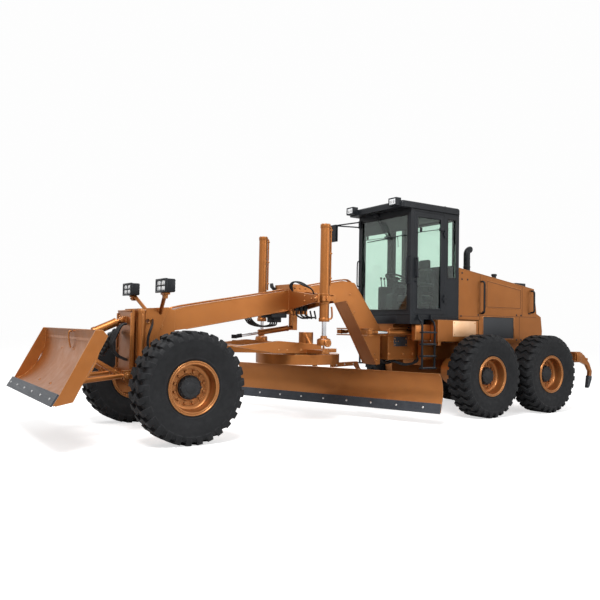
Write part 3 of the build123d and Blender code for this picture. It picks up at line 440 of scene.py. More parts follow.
def put(name, mesh, finish, body, replaces=(), place=None):
    """Links a mesh as a piece that wears a finish and rides on a body."""
    piece = bpy.data.objects.new(name, mesh)
    bpy.context.scene.collection.objects.link(piece)
    if place is not None:
        piece.matrix_world = place
    if not mesh.materials:
        mesh.materials.append(FINISH[finish])
        mesh.shade_smooth()
        mesh.set_sharp_from_angle(angle=SMOOTH_ANGLE)
    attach(piece, body)
    if replaces:
        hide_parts(*replaces)


def smooth_path(points, steps):
    """Points along one smooth curve through the given points."""
    spots = [Vector(point) for point in points]
    if len(spots) == 2:
        return spots
    spots = [spots[0] * 2 - spots[1]] + spots + [spots[-1] * 2 - spots[-2]]
    path = []
    for before, start, end, after in zip(spots, spots[1:], spots[2:], spots[3:]):
        for k in range(steps):
            t = k / steps
            path.append(0.5 * (2 * start + (end - before) * t
                               + (2 * before - 5 * start + 4 * end - after) * t ** 2
                               + (3 * start - before - 3 * end + after) * t ** 3))
    return path + [spots[-2]]


def circle(count, start=0.0):
    """(cosine, sine) of equal steps round a circle."""
    return [(cos(2 * pi * (k + start) / count), sin(2 * pi * (k + start) / count)) for k in range(count)]


def both_sides(*shapes):
    """Draws what follows on the left, and then its mirror image on the right."""
    for side, _ in SIDES:
        for shape in shapes:
            shape.side = side
        yield
    for shape in shapes:
        shape.side = 1


class Shape:
    """One piece's mesh, built up from small solids in the machine's frame."""

    def __init__(self, place=None, side=1):
        self.mesh = bmesh.new()
        self.place = place or Matrix.Identity(4)
        self.side = side

    def spot(self, point):
        x, y, z = point
        return Vector((x, y * self.side, z))

    def skin(self, rings, closed=False):
        """Walls between rings. Closed joins the last ring to the first, otherwise both ends are capped."""
        rows = [[self.mesh.verts.new(self.place @ point) for point in ring] for ring in rings]
        pairs = list(zip(rows, rows[1:]))
        if closed:
            pairs.append((rows[-1], rows[0]))
        for first, second in pairs:
            for i in range(len(first)):
                j = (i + 1) % len(first)
                self.mesh.faces.new((first[i], first[j], second[j], second[i]))
        if not closed:
            self.mesh.faces.new(rows[0][::-1])
            self.mesh.faces.new(rows[-1])

    def loft(self, rings):
        self.skin([[self.spot(point) for point in ring] for ring in rings])

    def block(self, low, high, bevel=0.004):
        corners = [sorted(pair) for pair in zip(self.spot(low), self.spot(high))]
        middle = Vector([(a + b) / 2 for a, b in corners])
        size = [b - a for a, b in corners]
        fit = self.place @ Matrix.Translation(middle) @ Matrix.Diagonal((*size, 1))
        verts = bmesh.ops.create_cube(self.mesh, size=1, matrix=fit)["verts"]
        bevel = min(bevel, min(size) * 0.45)
        edges = list({edge for vert in verts for edge in vert.link_edges})
        bmesh.ops.bevel(self.mesh, geom=edges, offset=bevel, segments=2, profile=0.5, affect="EDGES")

    def lathe(self, at, axis, profile, sides=32, closed=False):
        """(radius, distance along the axis) points, spun about it."""
        at, axis = self.spot(at), self.spot(axis).normalized()
        across = axis.orthogonal().normalized()
        other = axis.cross(across)
        spokes = [across * c + other * s for c, s in circle(sides)]
        self.skin([[at + axis * along + spoke * radius for spoke in spokes] for radius, along in profile],
                  closed)

    def boss(self, at, axis, radius, height, top_radius, top, sides=28):
        """Round boss with a chamfered top."""
        self.lathe(at, axis, [(radius, 0), (radius, height), (top_radius, top)], sides)

    def rod(self, start, end, radius, sides=20):
        run = Vector(end) - Vector(start)
        chamfer = min(0.003, radius * 0.3, run.length * 0.3)
        ends = [(radius - chamfer, 0), (radius, chamfer), (radius, run.length - chamfer),
                (radius - chamfer, run.length)]
        self.lathe(start, run, ends, sides)

    def bolt(self, at, normal, size, height=None):
        """Hexagon head on its washer."""
        height = height or size * 0.8
        self.lathe(at, normal, [(size * 1.45, 0), (size * 1.45, size * 0.18), (size * 1.3, size * 0.25)], 14)
        top = size * 0.25 + height
        self.lathe(at, normal, [(size, size * 0.2), (size, top * 0.85), (size * 0.82, top)], 6)

    def bolts(self, x, y, z, normal, size):
        """Bolts at every combination of x, y and z, each one number or several."""
        for at in product(*[n if isinstance(n, tuple) else (n,) for n in (x, y, z)]):
            self.bolt(at, normal, size)

    def bolt_circle(self, at, normal, radius, count, size, height=None, start=0.0):
        """Bolts round a centre, on a plane across X, Y or Z."""
        u, v = [axis for axis in (X, Y, Z) if abs(axis.dot(Vector(normal))) < 0.5]
        for c, s in circle(count, start):
            self.bolt(Vector(at) + (u * c + v * s) * radius, normal, size, height)

    def tube(self, points, radius, sides=10, steps=8):
        path = smooth_path([self.spot(point) for point in points], steps)
        across = (path[1] - path[0]).orthogonal().normalized()
        rings = []
        for i, point in enumerate(path):
            heading = (path[min(i + 1, len(path) - 1)] - path[max(i - 1, 0)]).normalized()
            across = (across - heading * across.dot(heading)).normalized()
            other = heading.cross(across)
            rings.append([point + (across * c + other * s) * radius for c, s in circle(sides)])
        self.skin(rings)

    def plate(self, outline, normal, thickness):
        """A flat outline, given a thickness along its normal."""
        step = Vector(normal) * thickness
        self.loft([outline, [Vector(point) + step for point in outline]])

    def frame(self, low, high, axis, width, bevel=0.004):
        """A rectangular border in the plane across an axis (0, 1 or 2)."""
        low, high = zip(*(sorted(pair) for pair in zip(low, high)))
        u, v = [k for k in range(3) if k != axis]
        for across, other in ((u, v), (v, u)):
            for at_low in (True, False):
                a, b = list(low), list(high)
                if at_low:
                    b[across] = low[across] + width
                else:
                    a[across] = high[across] - width
                if across == v:
                    a[other], b[other] = low[other] + width, high[other] - width
                self.block(a, b, bevel)

    def finished(self, name):
        bmesh.ops.recalc_face_normals(self.mesh, faces=self.mesh.faces)
        mesh = bpy.data.meshes.new(name)
        self.mesh.to_mesh(mesh)
        self.mesh.free()
        return mesh

    def done(self, name, body, finish="bronze_paint", replaces=()):
        put(name, self.finished(name), finish, body, replaces)


# ---- wheels ----
LUG_COUNT = 29
LUG_PITCH_R = 0.674          # where the lugs' widths are measured
WHEELS = [(place, side, hand) for place in ("front", "mid", "rear") for side, hand in SIDES]


def tyre_mesh():
    """Tyre about Y: a round-shouldered carcass with zigzag bars across the tread."""
    shape = Shape()
    half = [
        (0.3, 0.164), (0.318, 0.172), (0.336, 0.181), (0.348, 0.184), (0.356, 0.19), (0.364, 0.194),
        (0.372, 0.192), (0.384, 0.195), (0.43, 0.207), (0.47, 0.2165), (0.51, 0.2215), (0.555, 0.2225),
        (0.582, 0.2215), (0.588, 0.2235), (0.596, 0.2225), (0.602, 0.2185), (0.622, 0.212), (0.64, 0.2),
        (0.65, 0.18), (0.654, 0.14),
    ]
    shape.lathe((0, 0, 0), Y, half + [(r, -y) for r, y in reversed(half)], 116, closed=True)
    # (across the tread, shift round the tyre, half width, foot radius, top radius)
    half_bar = [
        (0.2235, 0.0, 0.034, 0.575, 0.606), (0.22, 0.003, 0.036, 0.585, 0.632),
        (0.21, 0.008, 0.038, 0.6, 0.66),
        (0.195, 0.016, 0.04, 0.625, 0.681), (0.176, 0.023, 0.041, 0.64, 0.6925),
        (0.1335, 0.03, 0.04, 0.645, 0.694),
        (0.0445, -0.028, 0.038, 0.645, 0.694),
    ]
    stations = [(-y, -shift, width, foot, top) for y, shift, width, foot, top in half_bar]
    stations += half_bar[::-1]
    for k in range(LUG_COUNT):
        spin = 2 * pi * k / LUG_COUNT
        rings = []
        for y, shift, width, foot, top in stations:
            ring = []
            for across, radius in ((-width - 0.006, foot), (-width + 0.003, top), (width - 0.003, top),
                                   (width + 0.006, foot)):
                angle = spin + (shift + across) / LUG_PITCH_R
                ring.append((radius * sin(angle), y, radius * cos(angle)))
            rings.append(ring)
        shape.loft(rings)
    return shape.finished("tyre")


def rim_mesh():
    """Rolled rim, dished disc and wheel nuts about Y, outward +Y."""
    shape = Shape()
    lip = [
        (0.3, 0.17), (0.326, 0.173), (0.3335, 0.179), (0.335, 0.187), (0.331, 0.1945), (0.3235, 0.197),
        (0.317, 0.1935), (0.3125, 0.1865), (0.3085, 0.1865), (0.3045, 0.192), (0.297, 0.1945), (0.29, 0.191),
        (0.2865, 0.182), (0.284, 0.1),
    ]
    shape.lathe((0, 0, 0), Y, lip + [(r, -y) for r, y in reversed(lip)], 72, closed=True)
    disc = [
        (0.2845, 0.072), (0.278, 0.046), (0.267, 0.034), (0.252, 0.028), (0.23, 0.028), (0.224, 0.018),
        (0.17, 0.018), (0.16, 0.03), (0.062, 0.03), (0.062, -0.06), (0.15, -0.06), (0.15, 0.0),
        (0.27, 0.0), (0.2845, 0.026),
    ]
    shape.lathe((0, 0, 0), Y, disc, 72, closed=True)
    shape.bolt_circle((0, 0.018, 0), Y, 0.197, 12, 0.0185, 0.03, start=0.5)
    shape.tube([(0.238, 0.026, 0), (0.25, 0.055, 0), (0.272, 0.078, 0)], 0.005)
    return shape.finished("rim")


def hub_mesh():
    """Ribbed dark hub cap over the spindle's end."""
    shape = Shape()
    shape.lathe((0, 0, 0), Y, [(0.15, 0.028), (0.15, 0.052), (0.143, 0.06), (0.136, 0.062), (0.132, 0.084),
                               (0.122, 0.092), (0.07, 0.092), (0.066, 0.096), (0.02, 0.097)], 48)
    for k in range(12):
        shape.place = Matrix.Rotation(2 * pi * k / 12, 4, "Y")
        shape.block((-0.009, 0.05, 0.128), (0.009, 0.086, 0.1475), 0.003)
        shape.bolt((0.0, 0.0915, 0.1), Y, 0.007)
    return shape.finished("hub_cap")


def add_wheels():
    tyre, rim, hub = tyre_mesh(), rim_mesh(), hub_mesh()
    for place, side, hand in WHEELS:
        body = f"wheel_{place}_{hand}"
        spot = Matrix.Translation(joint_point(body))
        if side < 0:
            spot = spot @ Matrix.Rotation(pi, 4, "Z")
        put(f"tread_tyre_{place}_{hand}", tyre, "rubber", body, [f"tyre_{place}_{hand}"], spot)
        put(f"dish_rim_{place}_{hand}", rim, "bronze_paint", body, [f"rim_{place}_{hand}"], spot)
        put(f"hub_cap_{place}_{hand}", hub, "cast_iron", body, (), spot)


# ---- blade, circle and drawbar ----
BLADE_TURN = radians(22)
CIRCLE_AT = joint_point("circle_turn")
TO_CIRCLE = Matrix.Translation((CIRCLE_AT.x, 0, 0))
BLADE_PLACE = TO_CIRCLE @ Matrix.Rotation(BLADE_TURN, 4, "Z") @ TO_CIRCLE.inverted()
EDGE_FACE, EDGE_NORMAL = (0.6395, 0.265), Vector((0.945, 0, 0.326))
EDGE_BOLT_STEP = 0.45


def add_blade():
    bolts = Shape(BLADE_PLACE)
    x, z = EDGE_FACE
    for k in range(9):
        y = 1.7 - EDGE_BOLT_STEP * k
        bolts.lathe((x - 0.004, y, z), EDGE_NORMAL,
                    [(0.017, 0), (0.017, 0.008), (0.012, 0.014), (0.006, 0.0155)], 18)
    bolts.done("edge_bolts", "blade", "bright_steel")
    ribs = Shape(BLADE_PLACE)
    for y in (1.974, -1.974):
        ribs.block((0.655, y - 0.006, 0.766), (0.672, y + 0.004, 0.788), 0.002)
    ribs.bolts(0.505, (-1.2, -0.4, 0.4, 1.2), 0.62, -X, 0.014)
    ribs.done("blade_trim", "blade")
    guides = Shape(BLADE_PLACE)
    for _ in both_sides(guides):
        guides.bolts(0.5205, (0.5, 0.6), (0.372, 0.43, 0.592, 0.64), X, 0.009)
        guides.boss((0.39, 0.6295, 0.4), Y, 0.05, 0.012, 0.044, 0.018)
        guides.bolt((0.39, 0.648, 0.4), Y, 0.02)
    guides.done("slide_guides", "blade_carrier")


def add_circle():
    """Gear teeth inside the ring and the bolts on its arms."""
    teeth = Shape()
    for k in range(72):
        teeth.place = TO_CIRCLE @ Matrix.Rotation(2 * pi * k / 72, 4, "Z")
        teeth.loft([[(0.5425, -0.015, z), (0.518, -0.008, z), (0.518, 0.008, z),
                     (0.5425, 0.015, z)] for z in (0.915, 1.015)])
    teeth.done("circle_teeth", "circle", "edge_steel")
    arms = Shape(BLADE_PLACE)
    for _ in both_sides(arms):
        for x, z in ((0.62, 0.87), (0.9, 0.872), (1.15, 0.872), (0.375, 0.72), (0.375, 0.5)):
            arms.bolt((x, 0.46, z), Y, 0.012)
    arms.done("circle_arm_bolts", "circle", "bright_steel")


def add_drawbar():
    trim = Shape()
    lift_x, lift_y, _ = joint_point("lift_yoke_left")
    # brackets that carry the lift cylinders' balls, with their gussets and bolts
    for y in (lift_y, -lift_y):
        trim.block((lift_x - 0.165, y - 0.055, 1.128), (lift_x - 0.06, y + 0.05, 1.15), 0.006)
    for _ in both_sides(trim):
        trim.plate([(lift_x - 0.06, 0.93, 1.08), (lift_x + 0.06, 0.93, 1.08), (lift_x + 0.045, 0.93, 1.15),
                    (lift_x - 0.045, 0.93, 1.15)], Y, 0.016)
        for x in (-0.035, 0.035):
            trim.bolt((lift_x + x, 0.946, 1.112), Y, 0.01)
        trim.boss((2.62, 0.275, 1.175), Z, 0.04, 0.012, 0.034, 0.016, 24)
        trim.bolts((1.62, 1.86, 2.1, 2.24), 0.54, 1.118, Y, 0.012)
    trim.bolt_circle((3.02, 0, 1.176), Z, 0.045, 8, 0.008)
    trim.done("drawbar_trim", "drawbar")


# ---- blade lift cylinders ----
def add_lift_cylinders():
    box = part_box("lift_barrel_left")
    top, low = box[1][2], box[0][2]
    x, y, pivot_z = joint_point("lift_yoke_left")
    for side, hand in SIDES:
        caps = Shape(side=side)
        caps.lathe((x, y, low - 0.002), Z,
                   [(0.06, 0), (0.076, 0.002), (0.078, 0.01), (0.078, 0.05), (0.074, 0.056)], 36)
        caps.lathe((x, y, top - 0.06), Z, [(0.0735, 0), (0.0755, 0.006), (0.0755, 0.05), (0.066, 0.06)], 36)
        caps.lathe((x, y, 1.795), Z, [(0.0725, 0), (0.08, 0.004), (0.08, 0.146), (0.0725, 0.15)], 36)
        # slim pipe that feeds the barrel's top, with its clamps
        caps.tube([(x - 0.06, y, top - 0.03), (x - 0.095, y, top - 0.045), (x - 0.098, y, top - 0.12),
                   (x - 0.098, y, 2.4), (x - 0.098, y, 2.06)], 0.014, 12)
        for z in (2.86, 2.52, 2.16):
            caps.block((x - 0.116, y - 0.02, z), (x - 0.04, y + 0.02, z + 0.022), 0.004)
        caps.tube([(x - 0.045, y + 0.045, low + 0.03), (x - 0.085, y + 0.07, low + 0.06),
                   (x - 0.085, y + 0.07, low + 0.16), (x - 0.085, y + 0.06, 1.755)], 0.013, 12)
        caps.bolt_circle((x, y, top - 0.0005), Z, 0.055, 6, 0.008, 0.006)
        caps.done(f"lift_barrel_trim_{hand}", f"lift_barrel_{hand}")
        yoke = Shape(side=side)
        for end in (-1, 1):
            yoke.boss((x + end * 0.15, y, pivot_z), X * end, 0.048, 0.012, 0.04, 0.02)
            yoke.bolt((x + end * 0.17, y, pivot_z), X * end, 0.014)
        yoke.boss((x, y + 0.104, pivot_z), Y, 0.046, 0.014, 0.038, 0.02)
        yoke.done(f"lift_yoke_trim_{hand}", f"lift_yoke_{hand}")
        # bronze socket with a bolted cover over the rod's ball
        ball = Shape(side=side)
        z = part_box(f"lift_rod_{hand}")[0][2]
        ball.lathe((x, y, z), Z, [(0.086, 0.001), (0.0975, 0.001), (0.099, 0.01), (0.099, 0.082),
                                  (0.09, 0.098), (0.05, 0.112), (0.046, 0.14), (0.0335, 0.142)], 40)
        ball.boss((x, y + 0.088, z + 0.04), Y, 0.058, 0.022, 0.05, 0.03, 30)
        ball.bolt_circle((x, y + 0.116, z + 0.04), Y, 0.04, 6, 0.007)
        ball.done(f"lift_ball_socket_{hand}", f"lift_rod_{hand}")


def add_saddle():
    trim = Shape()
    for _ in both_sides(trim):
        trim.bolts((1.6, 1.7, 1.8), 0.235, (1.74, 2.05), Y, 0.014)
        for x, y, z in ((1.583, 0.6, 1.915), (1.583, 0.6, 1.84), (1.583, 0.78, 1.87)):
            trim.bolt((x + 0.277, y, z), X, 0.012)
        trim.block((1.59, 0.236, 1.7), (1.83, 0.25, 1.78), 0.005)
    trim.done("saddle_bolts", "front_frame")
    valves = Shape()
    for k, x in enumerate((1.6, 1.68, 1.76)):
        valves.block((x, 0.252, 1.7), (x + 0.055, 0.3, 1.785), 0.006)
        valves.rod((x + 0.027, 0.276, 1.7), (x + 0.027, 0.276, 1.66), 0.014)
    valves.block((1.88, -0.16, 1.59), (2.15, 0.16, 1.66), 0.012)
    valves.block((1.94, -0.1, 1.52), (2.08, 0.1, 1.6), 0.012)
    valves.done("blade_valves", "front_frame", "interior_plastic")
    hoses = Shape()
    for k in range(3):
        x = 1.627 + 0.08 * k
        hoses.tube([(x, 0.276, 1.662), (x - 0.01, 0.285, 1.63), (x - 0.1, 0.27, 1.605 - 0.006 * k),
                    (x - 0.22, 0.22, 1.605 - 0.006 * k), (x - 0.3, 0.13, 1.6), (x - 0.32, 0.06, 1.71)],
                   0.013)
    for k in range(4):
        y = -0.09 + 0.06 * k
        hoses.tube([(2.02, y, 1.522), (2.05, y, 1.475), (2.2 + 0.02 * k, y * 1.3, 1.455),
                    (2.38, y * 1.1, 1.49), (2.46, y, 1.56), (2.47, y, 1.605)], 0.012)
    for _ in both_sides(hoses):
        for k in range(3):
            y = 0.2 + 0.03 * k
            hoses.tube([(1.845, y, 2.02 - 0.02 * k), (1.89, y + 0.04, 2.08), (1.87, y + 0.1, 2.13),
                        (1.8, 0.42 + 0.02 * k, 2.12 - 0.02 * k), (1.68, 0.5, 2.03), (1.64, 0.51, 1.97),
                        (1.632, 0.5, 1.92)], 0.011)
    hoses.done("saddle_hoses", "front_frame", "hose_rubber")


# ---- front frame and lamps ----
BEAM_HALF = 0.17


def add_front_frame():
    trim = Shape()
    for _ in both_sides(trim):
        y = BEAM_HALF
        for x, z in ((0.15, 1.03), (0.105, 0.93), (0.36, 1.35), (0.6, 1.72), (0.68, 2.0)):
            trim.bolt((x, y, z), Y, 0.013)
        # weld beads along the beam's edges
        for bead in (((3.55, 1.702), (2.32, 1.924)), ((1.55, 2.073), (0.84, 2.204)),
                     ((0.585, 2.166), (0.395, 1.92), (0.064, 1.482)),
                     ((0.125, 0.872), (0.462, 1.433), (0.752, 1.876)), ((3.53, 1.403), (1.88, 1.702))):
            trim.tube([(x, y - 0.004, z) for x, z in bead], 0.009, 8, 1)
        # bolts on both faces of the headlamp posts' plates
        for z in (1.44, 1.538, 1.605):
            trim.bolt((3.889, 0.2, z), -X, 0.013)
            trim.bolt((3.9505, 0.2, z), X, 0.013)
        trim.boss((0.02, 0.062, 1.12), Y, 0.03, 0.004, 0.024, 0.006, 20)
    trim.boss((0, 0, 1.3395), Z, 0.045, 0.014, 0.036, 0.022, 30)
    trim.done("beam_trim", "front_frame")
    pipes = Shape()
    for k in range(2):
        y = 0.03 + 0.04 * k
        pipes.tube([(3.75, y, 1.655), (3.57, y, 1.722), (2.35, y, 1.94), (1.9, y, 2.024)], 0.011, 10, 3)
        pipes.tube([(1.52, y, 2.096), (0.84, y, 2.226), (0.6, y, 2.212), (0.4, y, 1.945), (0.22, y, 1.705)],
                   0.011, 10, 3)
    pipes.done("beam_pipes", "front_frame")


LAMP_Y, LAMP_HALF_W = 0.65, 0.1685
ROOF_LAMP_Y = 0.56


def lamp_box(body, lens, glow, front, y, z, half_w, half_h, depth):
    """Housing that looks forward, with a bezel, cooling ribs and a lens of four cells."""
    back = front - depth
    body.block((back, y - half_w, z - half_h), (front - 0.016, y + half_w, z + half_h), 0.014)
    body.frame((front - 0.03, y - half_w - 0.004, z - half_h - 0.004),
               (front, y + half_w + 0.004, z + half_h + 0.004), 0, 0.026, 0.005)
    for k in range(4):
        rib_z = z - half_h * 0.72 + half_h * 1.44 * k / 3
        body.block((back - 0.004, y - half_w + 0.012, rib_z - 0.004),
                   (back + 0.01, y + half_w - 0.012, rib_z + 0.004), 0.002)
    # cross between the lens's cells
    for reach_y, reach_z in ((0.006, half_h - 0.02), (half_w - 0.02, 0.006)):
        body.block((front - 0.018, y - reach_y, z - reach_z), (front - 0.006, y + reach_y, z + reach_z),
                   0.002)
    cell_w, cell_h = half_w - 0.034, half_h - 0.034
    radius = min(cell_w, cell_h) * 0.34
    for column in (-1, 1):
        for tier in (-1, 1):
            cy, cz = y + column * (cell_w / 2 + 0.009), z + tier * (cell_h / 2 + 0.009)
            lens.block((front - 0.016, cy - cell_w / 2, cz - cell_h / 2),
                       (front - 0.01, cy + cell_w / 2, cz + cell_h / 2), 0.003)
            glow.lathe((front - 0.0095, cy, cz), X, [(radius, 0), (radius * 30 / 34, 0.003)], 24)


def add_lamps():
    housing, lens, glow = Shape(), Shape(), Shape()
    low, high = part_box("headlamps")
    middle_z, half_h = (low[2] + high[2]) / 2, (high[2] - low[2]) / 2 - 0.004
    for _ in both_sides(housing, lens, glow):
        lamp_box(housing, lens, glow, high[0], LAMP_Y, middle_z, LAMP_HALF_W, half_h, high[0] - low[0])
    housing.done("headlamp_housings", "front_frame", "black_paint", ["headlamps"])
    lens.done("headlamp_lenses", "front_frame", "lamp_glass")
    glow.done("headlamp_reflectors", "front_frame", "bright_steel")
    mounts = Shape()
    for side, _ in SIDES:
        y = side * 0.6
        mounts.block((3.985, y - 0.05, 1.838), (4.06, y + 0.05 + side * 0.05, 1.868), 0.005)
        mounts.plate([(3.99, y - 0.03, 1.79), (4.035, y - 0.03, 1.79), (4.05, y - 0.03, 1.85),
                      (3.985, y - 0.03, 1.85)], Y, 0.06)
        mounts.bolt((4.04, y + side * 0.031, 1.818), (0, side, 0), 0.01)
    mounts.done("headlamp_mounts", "front_frame")
    housing, lens, glow = Shape(), Shape(), Shape()
    for _ in both_sides(housing, lens, glow):
        housing.frame((0.138, ROOF_LAMP_Y - 0.094, 3.455), (0.156, ROOF_LAMP_Y + 0.094, 3.5845), 0, 0.022,
                      0.004)
        lens.block((0.1495, ROOF_LAMP_Y - 0.07, 3.474), (0.1525, ROOF_LAMP_Y + 0.07, 3.566), 0.002)
        for y in (ROOF_LAMP_Y - 0.034, ROOF_LAMP_Y + 0.034):
            glow.lathe((0.1528, y, 3.52), X, [(0.026, 0), (0.022, 0.002)], 24)
    housing.done("roof_lamp_bezels", "rear_frame", "black_paint")
    lens.done("roof_lamp_lenses", "rear_frame", "lamp_glass")
    glow.done("roof_lamp_reflectors", "rear_frame", "bright_steel")


# ---- front axle ----
KINGPIN_X, HUB_Z, AXLE_PIN_Z = 3.87, 0.694, 0.8


def add_front_axle():
    fixed = Shape()
    fixed.lathe((3.958, 0, AXLE_PIN_Z), X, [(0.105, 0), (0.105, 0.014), (0.09, 0.022), (0.05, 0.026)], 40)
    fixed.bolt_circle((3.979, 0, AXLE_PIN_Z), X, 0.075, 8, 0.01)
    for _ in both_sides(fixed):
        fixed.block((3.825, 0.18, 0.858), (3.915, 0.4, 0.876), 0.005)
    fixed.done("axle_pin_cover", "front_frame")
    for side, hand in SIDES:
        bracket = Shape(side=side)
        y = 0.8
        for z, way in ((0.848, 1), (0.54, -1)):
            bracket.boss((KINGPIN_X, y, z), Z * way, 0.052, 0.01, 0.042, 0.018)
            bracket.bolt_circle((KINGPIN_X, y, z + way * 0.017), Z * way, 0.032, 4, 0.007, start=0.5)
        bracket.boss((3.96, 0.56, HUB_Z), X, 0.04, 0.012, 0.032, 0.018)
        bracket.done(f"kingpin_caps_{hand}", f"lean_bracket_{hand}")
        knuckle = Shape(side=side)
        knuckle.lathe((KINGPIN_X, 0.868, HUB_Z), Y,
                      [(0.11, 0), (0.11, 0.026), (0.082, 0.06), (0.0605, 0.066)], 36)
        knuckle.bolt_circle((KINGPIN_X, 0.894, HUB_Z), Y, 0.094, 8, 0.01, start=0.5)
        knuckle.bolt((3.69, 0.8, 0.626), Z, 0.016)
        knuckle.done(f"knuckle_trim_{hand}", f"knuckle_{hand}")


# ---- scoop ----
LIFT_X, LIFT_Y = 4.215, 0.315          # the scoop's lift cylinders
ARM_X, ARM_Z = 4.39, 0.8               # pivots of the scoop's arms
TILT_X, TILT_Z = 4.385, 1.505          # pivot of the tilt cylinder


def add_scoop():
    """Bolts of the edge, ribs and hook of the bucket, and the pins of its ears."""
    bolts = Shape()
    normal = Vector((0.851, 0, 0.525))
    for k in range(6):
        y = 1.14 - 0.456 * k
        bolts.boss((5.5105, y, 0.6295), normal, 0.015, 0.006, 0.009, 0.011, 18)
    bolts.done("scoop_edge_bolts", "scoop", "bright_steel")
    trim = Shape()
    # hook that hangs inside the back
    trim.tube([(5.062, 0.2, 1.352), (5.09, 0.2, 1.352), (5.102, 0.2, 1.33), (5.098, 0.2, 1.255),
               (5.08, 0.2, 1.17), (5.073, 0.2, 1.15)], 0.01, 10)
    for _ in both_sides(trim):
        trim.tube([(x, 1.292, z) for x, z in ((5.088, 1.3775), (5.012, 1.3775), (4.953, 1.319),
                                              (5.311, 0.603), (5.49, 0.57))], 0.0085, 8, 1)
        for x, z in ((4.53, 0.836), (5.02, 1.132)):
            trim.lathe((x, 0.3, z), Vector((0.565, 0, 0.335)),
                       [(0.029, 0), (0.036, 0.004), (0.036, 0.03), (0.029, 0.034)], 28)
        trim.boss((ARM_X, 0.3265, ARM_Z), Y, 0.046, 0.004, 0.04, 0.006, 30)
    trim.block((5.04, -1.27, 1.372), (5.064, 1.27, 1.386), 0.006)
    trim.done("scoop_trim", "scoop")
    eye = Shape()
    for _ in both_sides(eye):
        eye.boss((4.87, 0.049, 1.29), Y, 0.036, 0.01, 0.028, 0.014, 26)
        eye.bolt((4.87, 0.062, 1.29), Y, 0.012)
    eye.done("scoop_ear_pins", "scoop")


def add_scoop_carriage():
    """Bands of the tilt cylinder, and guides, pins and bolts of the carriage."""
    tilt = Shape()
    top = Vector((TILT_X, 0, TILT_Z))
    run = Vector((0.485, 0, -0.215)).normalized()
    tilt.lathe(top + run * 0.065, run, [(0.05, 0), (0.058, 0.003), (0.058, 0.024), (0.0555, 0.028)], 32)
    tilt.lathe(top + run * 0.36, run,
               [(0.0555, 0), (0.06, 0.004), (0.06, 0.036), (0.05, 0.044), (0.026, 0.046)], 32)
    tilt.done("tilt_cylinder_bands", "scoop_tilt_barrel")
    carriage = Shape()
    for _ in both_sides(carriage):
        carriage.block((4.333, 0.262, 0.87), (4.352, 0.29, 1.6), 0.005)
        carriage.boss((ARM_X, 0.355, ARM_Z), Y, 0.044, 0.01, 0.036, 0.014)
        carriage.bolt((ARM_X, 0.368, ARM_Z), Y, 0.013)
        carriage.boss((TILT_X, 0.062, TILT_Z), Y, 0.032, 0.008, 0.026, 0.012, 24)
        carriage.bolts(4.332, 0.225, (0.92, 1.12, 1.32, 1.56), X, 0.012)
    carriage.block((4.333, -0.26, 1.615), (4.348, 0.26, 1.638), 0.005)
    carriage.done("carriage_trim", "scoop_carriage")


def add_scoop_lift():
    """Bands and pipes of the scoop's lift cylinders, its hoses and the boot under the tilt cylinder."""
    posts = Shape()
    for _ in both_sides(posts):
        posts.lathe((LIFT_X, LIFT_Y, 0.909), Z,
                    [(0.045, 0), (0.056, 0.003), (0.056, 0.032), (0.053, 0.036)], 32)
        posts.lathe((LIFT_X, LIFT_Y, 1.598), Z, [(0.053, 0), (0.056, 0.003), (0.056, 0.04), (0.046, 0.047)],
                    32)
        posts.bolt((LIFT_X, LIFT_Y, 1.644), Z, 0.014)
        posts.tube([(4.215, 0.365, 1.585), (4.225, 0.385, 1.57), (4.228, 0.386, 1.4), (4.225, 0.384, 0.99),
                    (4.215, 0.364, 0.965)], 0.009)
    posts.done("scoop_lift_trim", "front_frame")
    hoses = Shape()
    for k in range(3):
        y = 0.06 + 0.04 * k
        hoses.tube([(4.352, y, 1.46), (4.42, y, 1.43), (4.5, y, 1.31 - 0.02 * k), (4.53, y, 1.17),
                    (4.46, y, 1.05), (4.37, y, 1.0), (4.334, y, 0.985)], 0.016)
    hoses.done("scoop_hoses", "scoop_carriage", "hose_rubber")
    lift_hoses = Shape()
    for _ in both_sides(lift_hoses):
        for k in range(2):
            y = 0.372 + 0.028 * k
            lift_hoses.tube([(4.02, 0.2, 1.5 + 0.03 * k), (4.1, y, 1.44), (4.15, y, 1.25), (4.13, y, 1.02),
                             (4.17, y, 0.93), (4.21, 0.368, 0.965)], 0.012)
    lift_hoses.done("scoop_lift_hoses", "front_frame", "hose_rubber")
    # ribbed rubber boot under the tilt cylinder
    boot = Shape()
    start = Vector((4.385, -0.16, 1.37))
    run = Vector((4.6, -0.16, 1.04)) - start
    boot.lathe(start, run, [(0.052 if k % 2 else 0.042, run.length * k / 14) for k in range(15)], 26)
    boot.done("tilt_boot", "scoop_carriage", "hose_rubber")


# ---- cab ----
CAB_FRONT, CAB_REAR, CAB_HALF = -0.16, -1.28, 0.68
CAB_FLOOR_Z, ROOF_Z = 1.642, 3.546


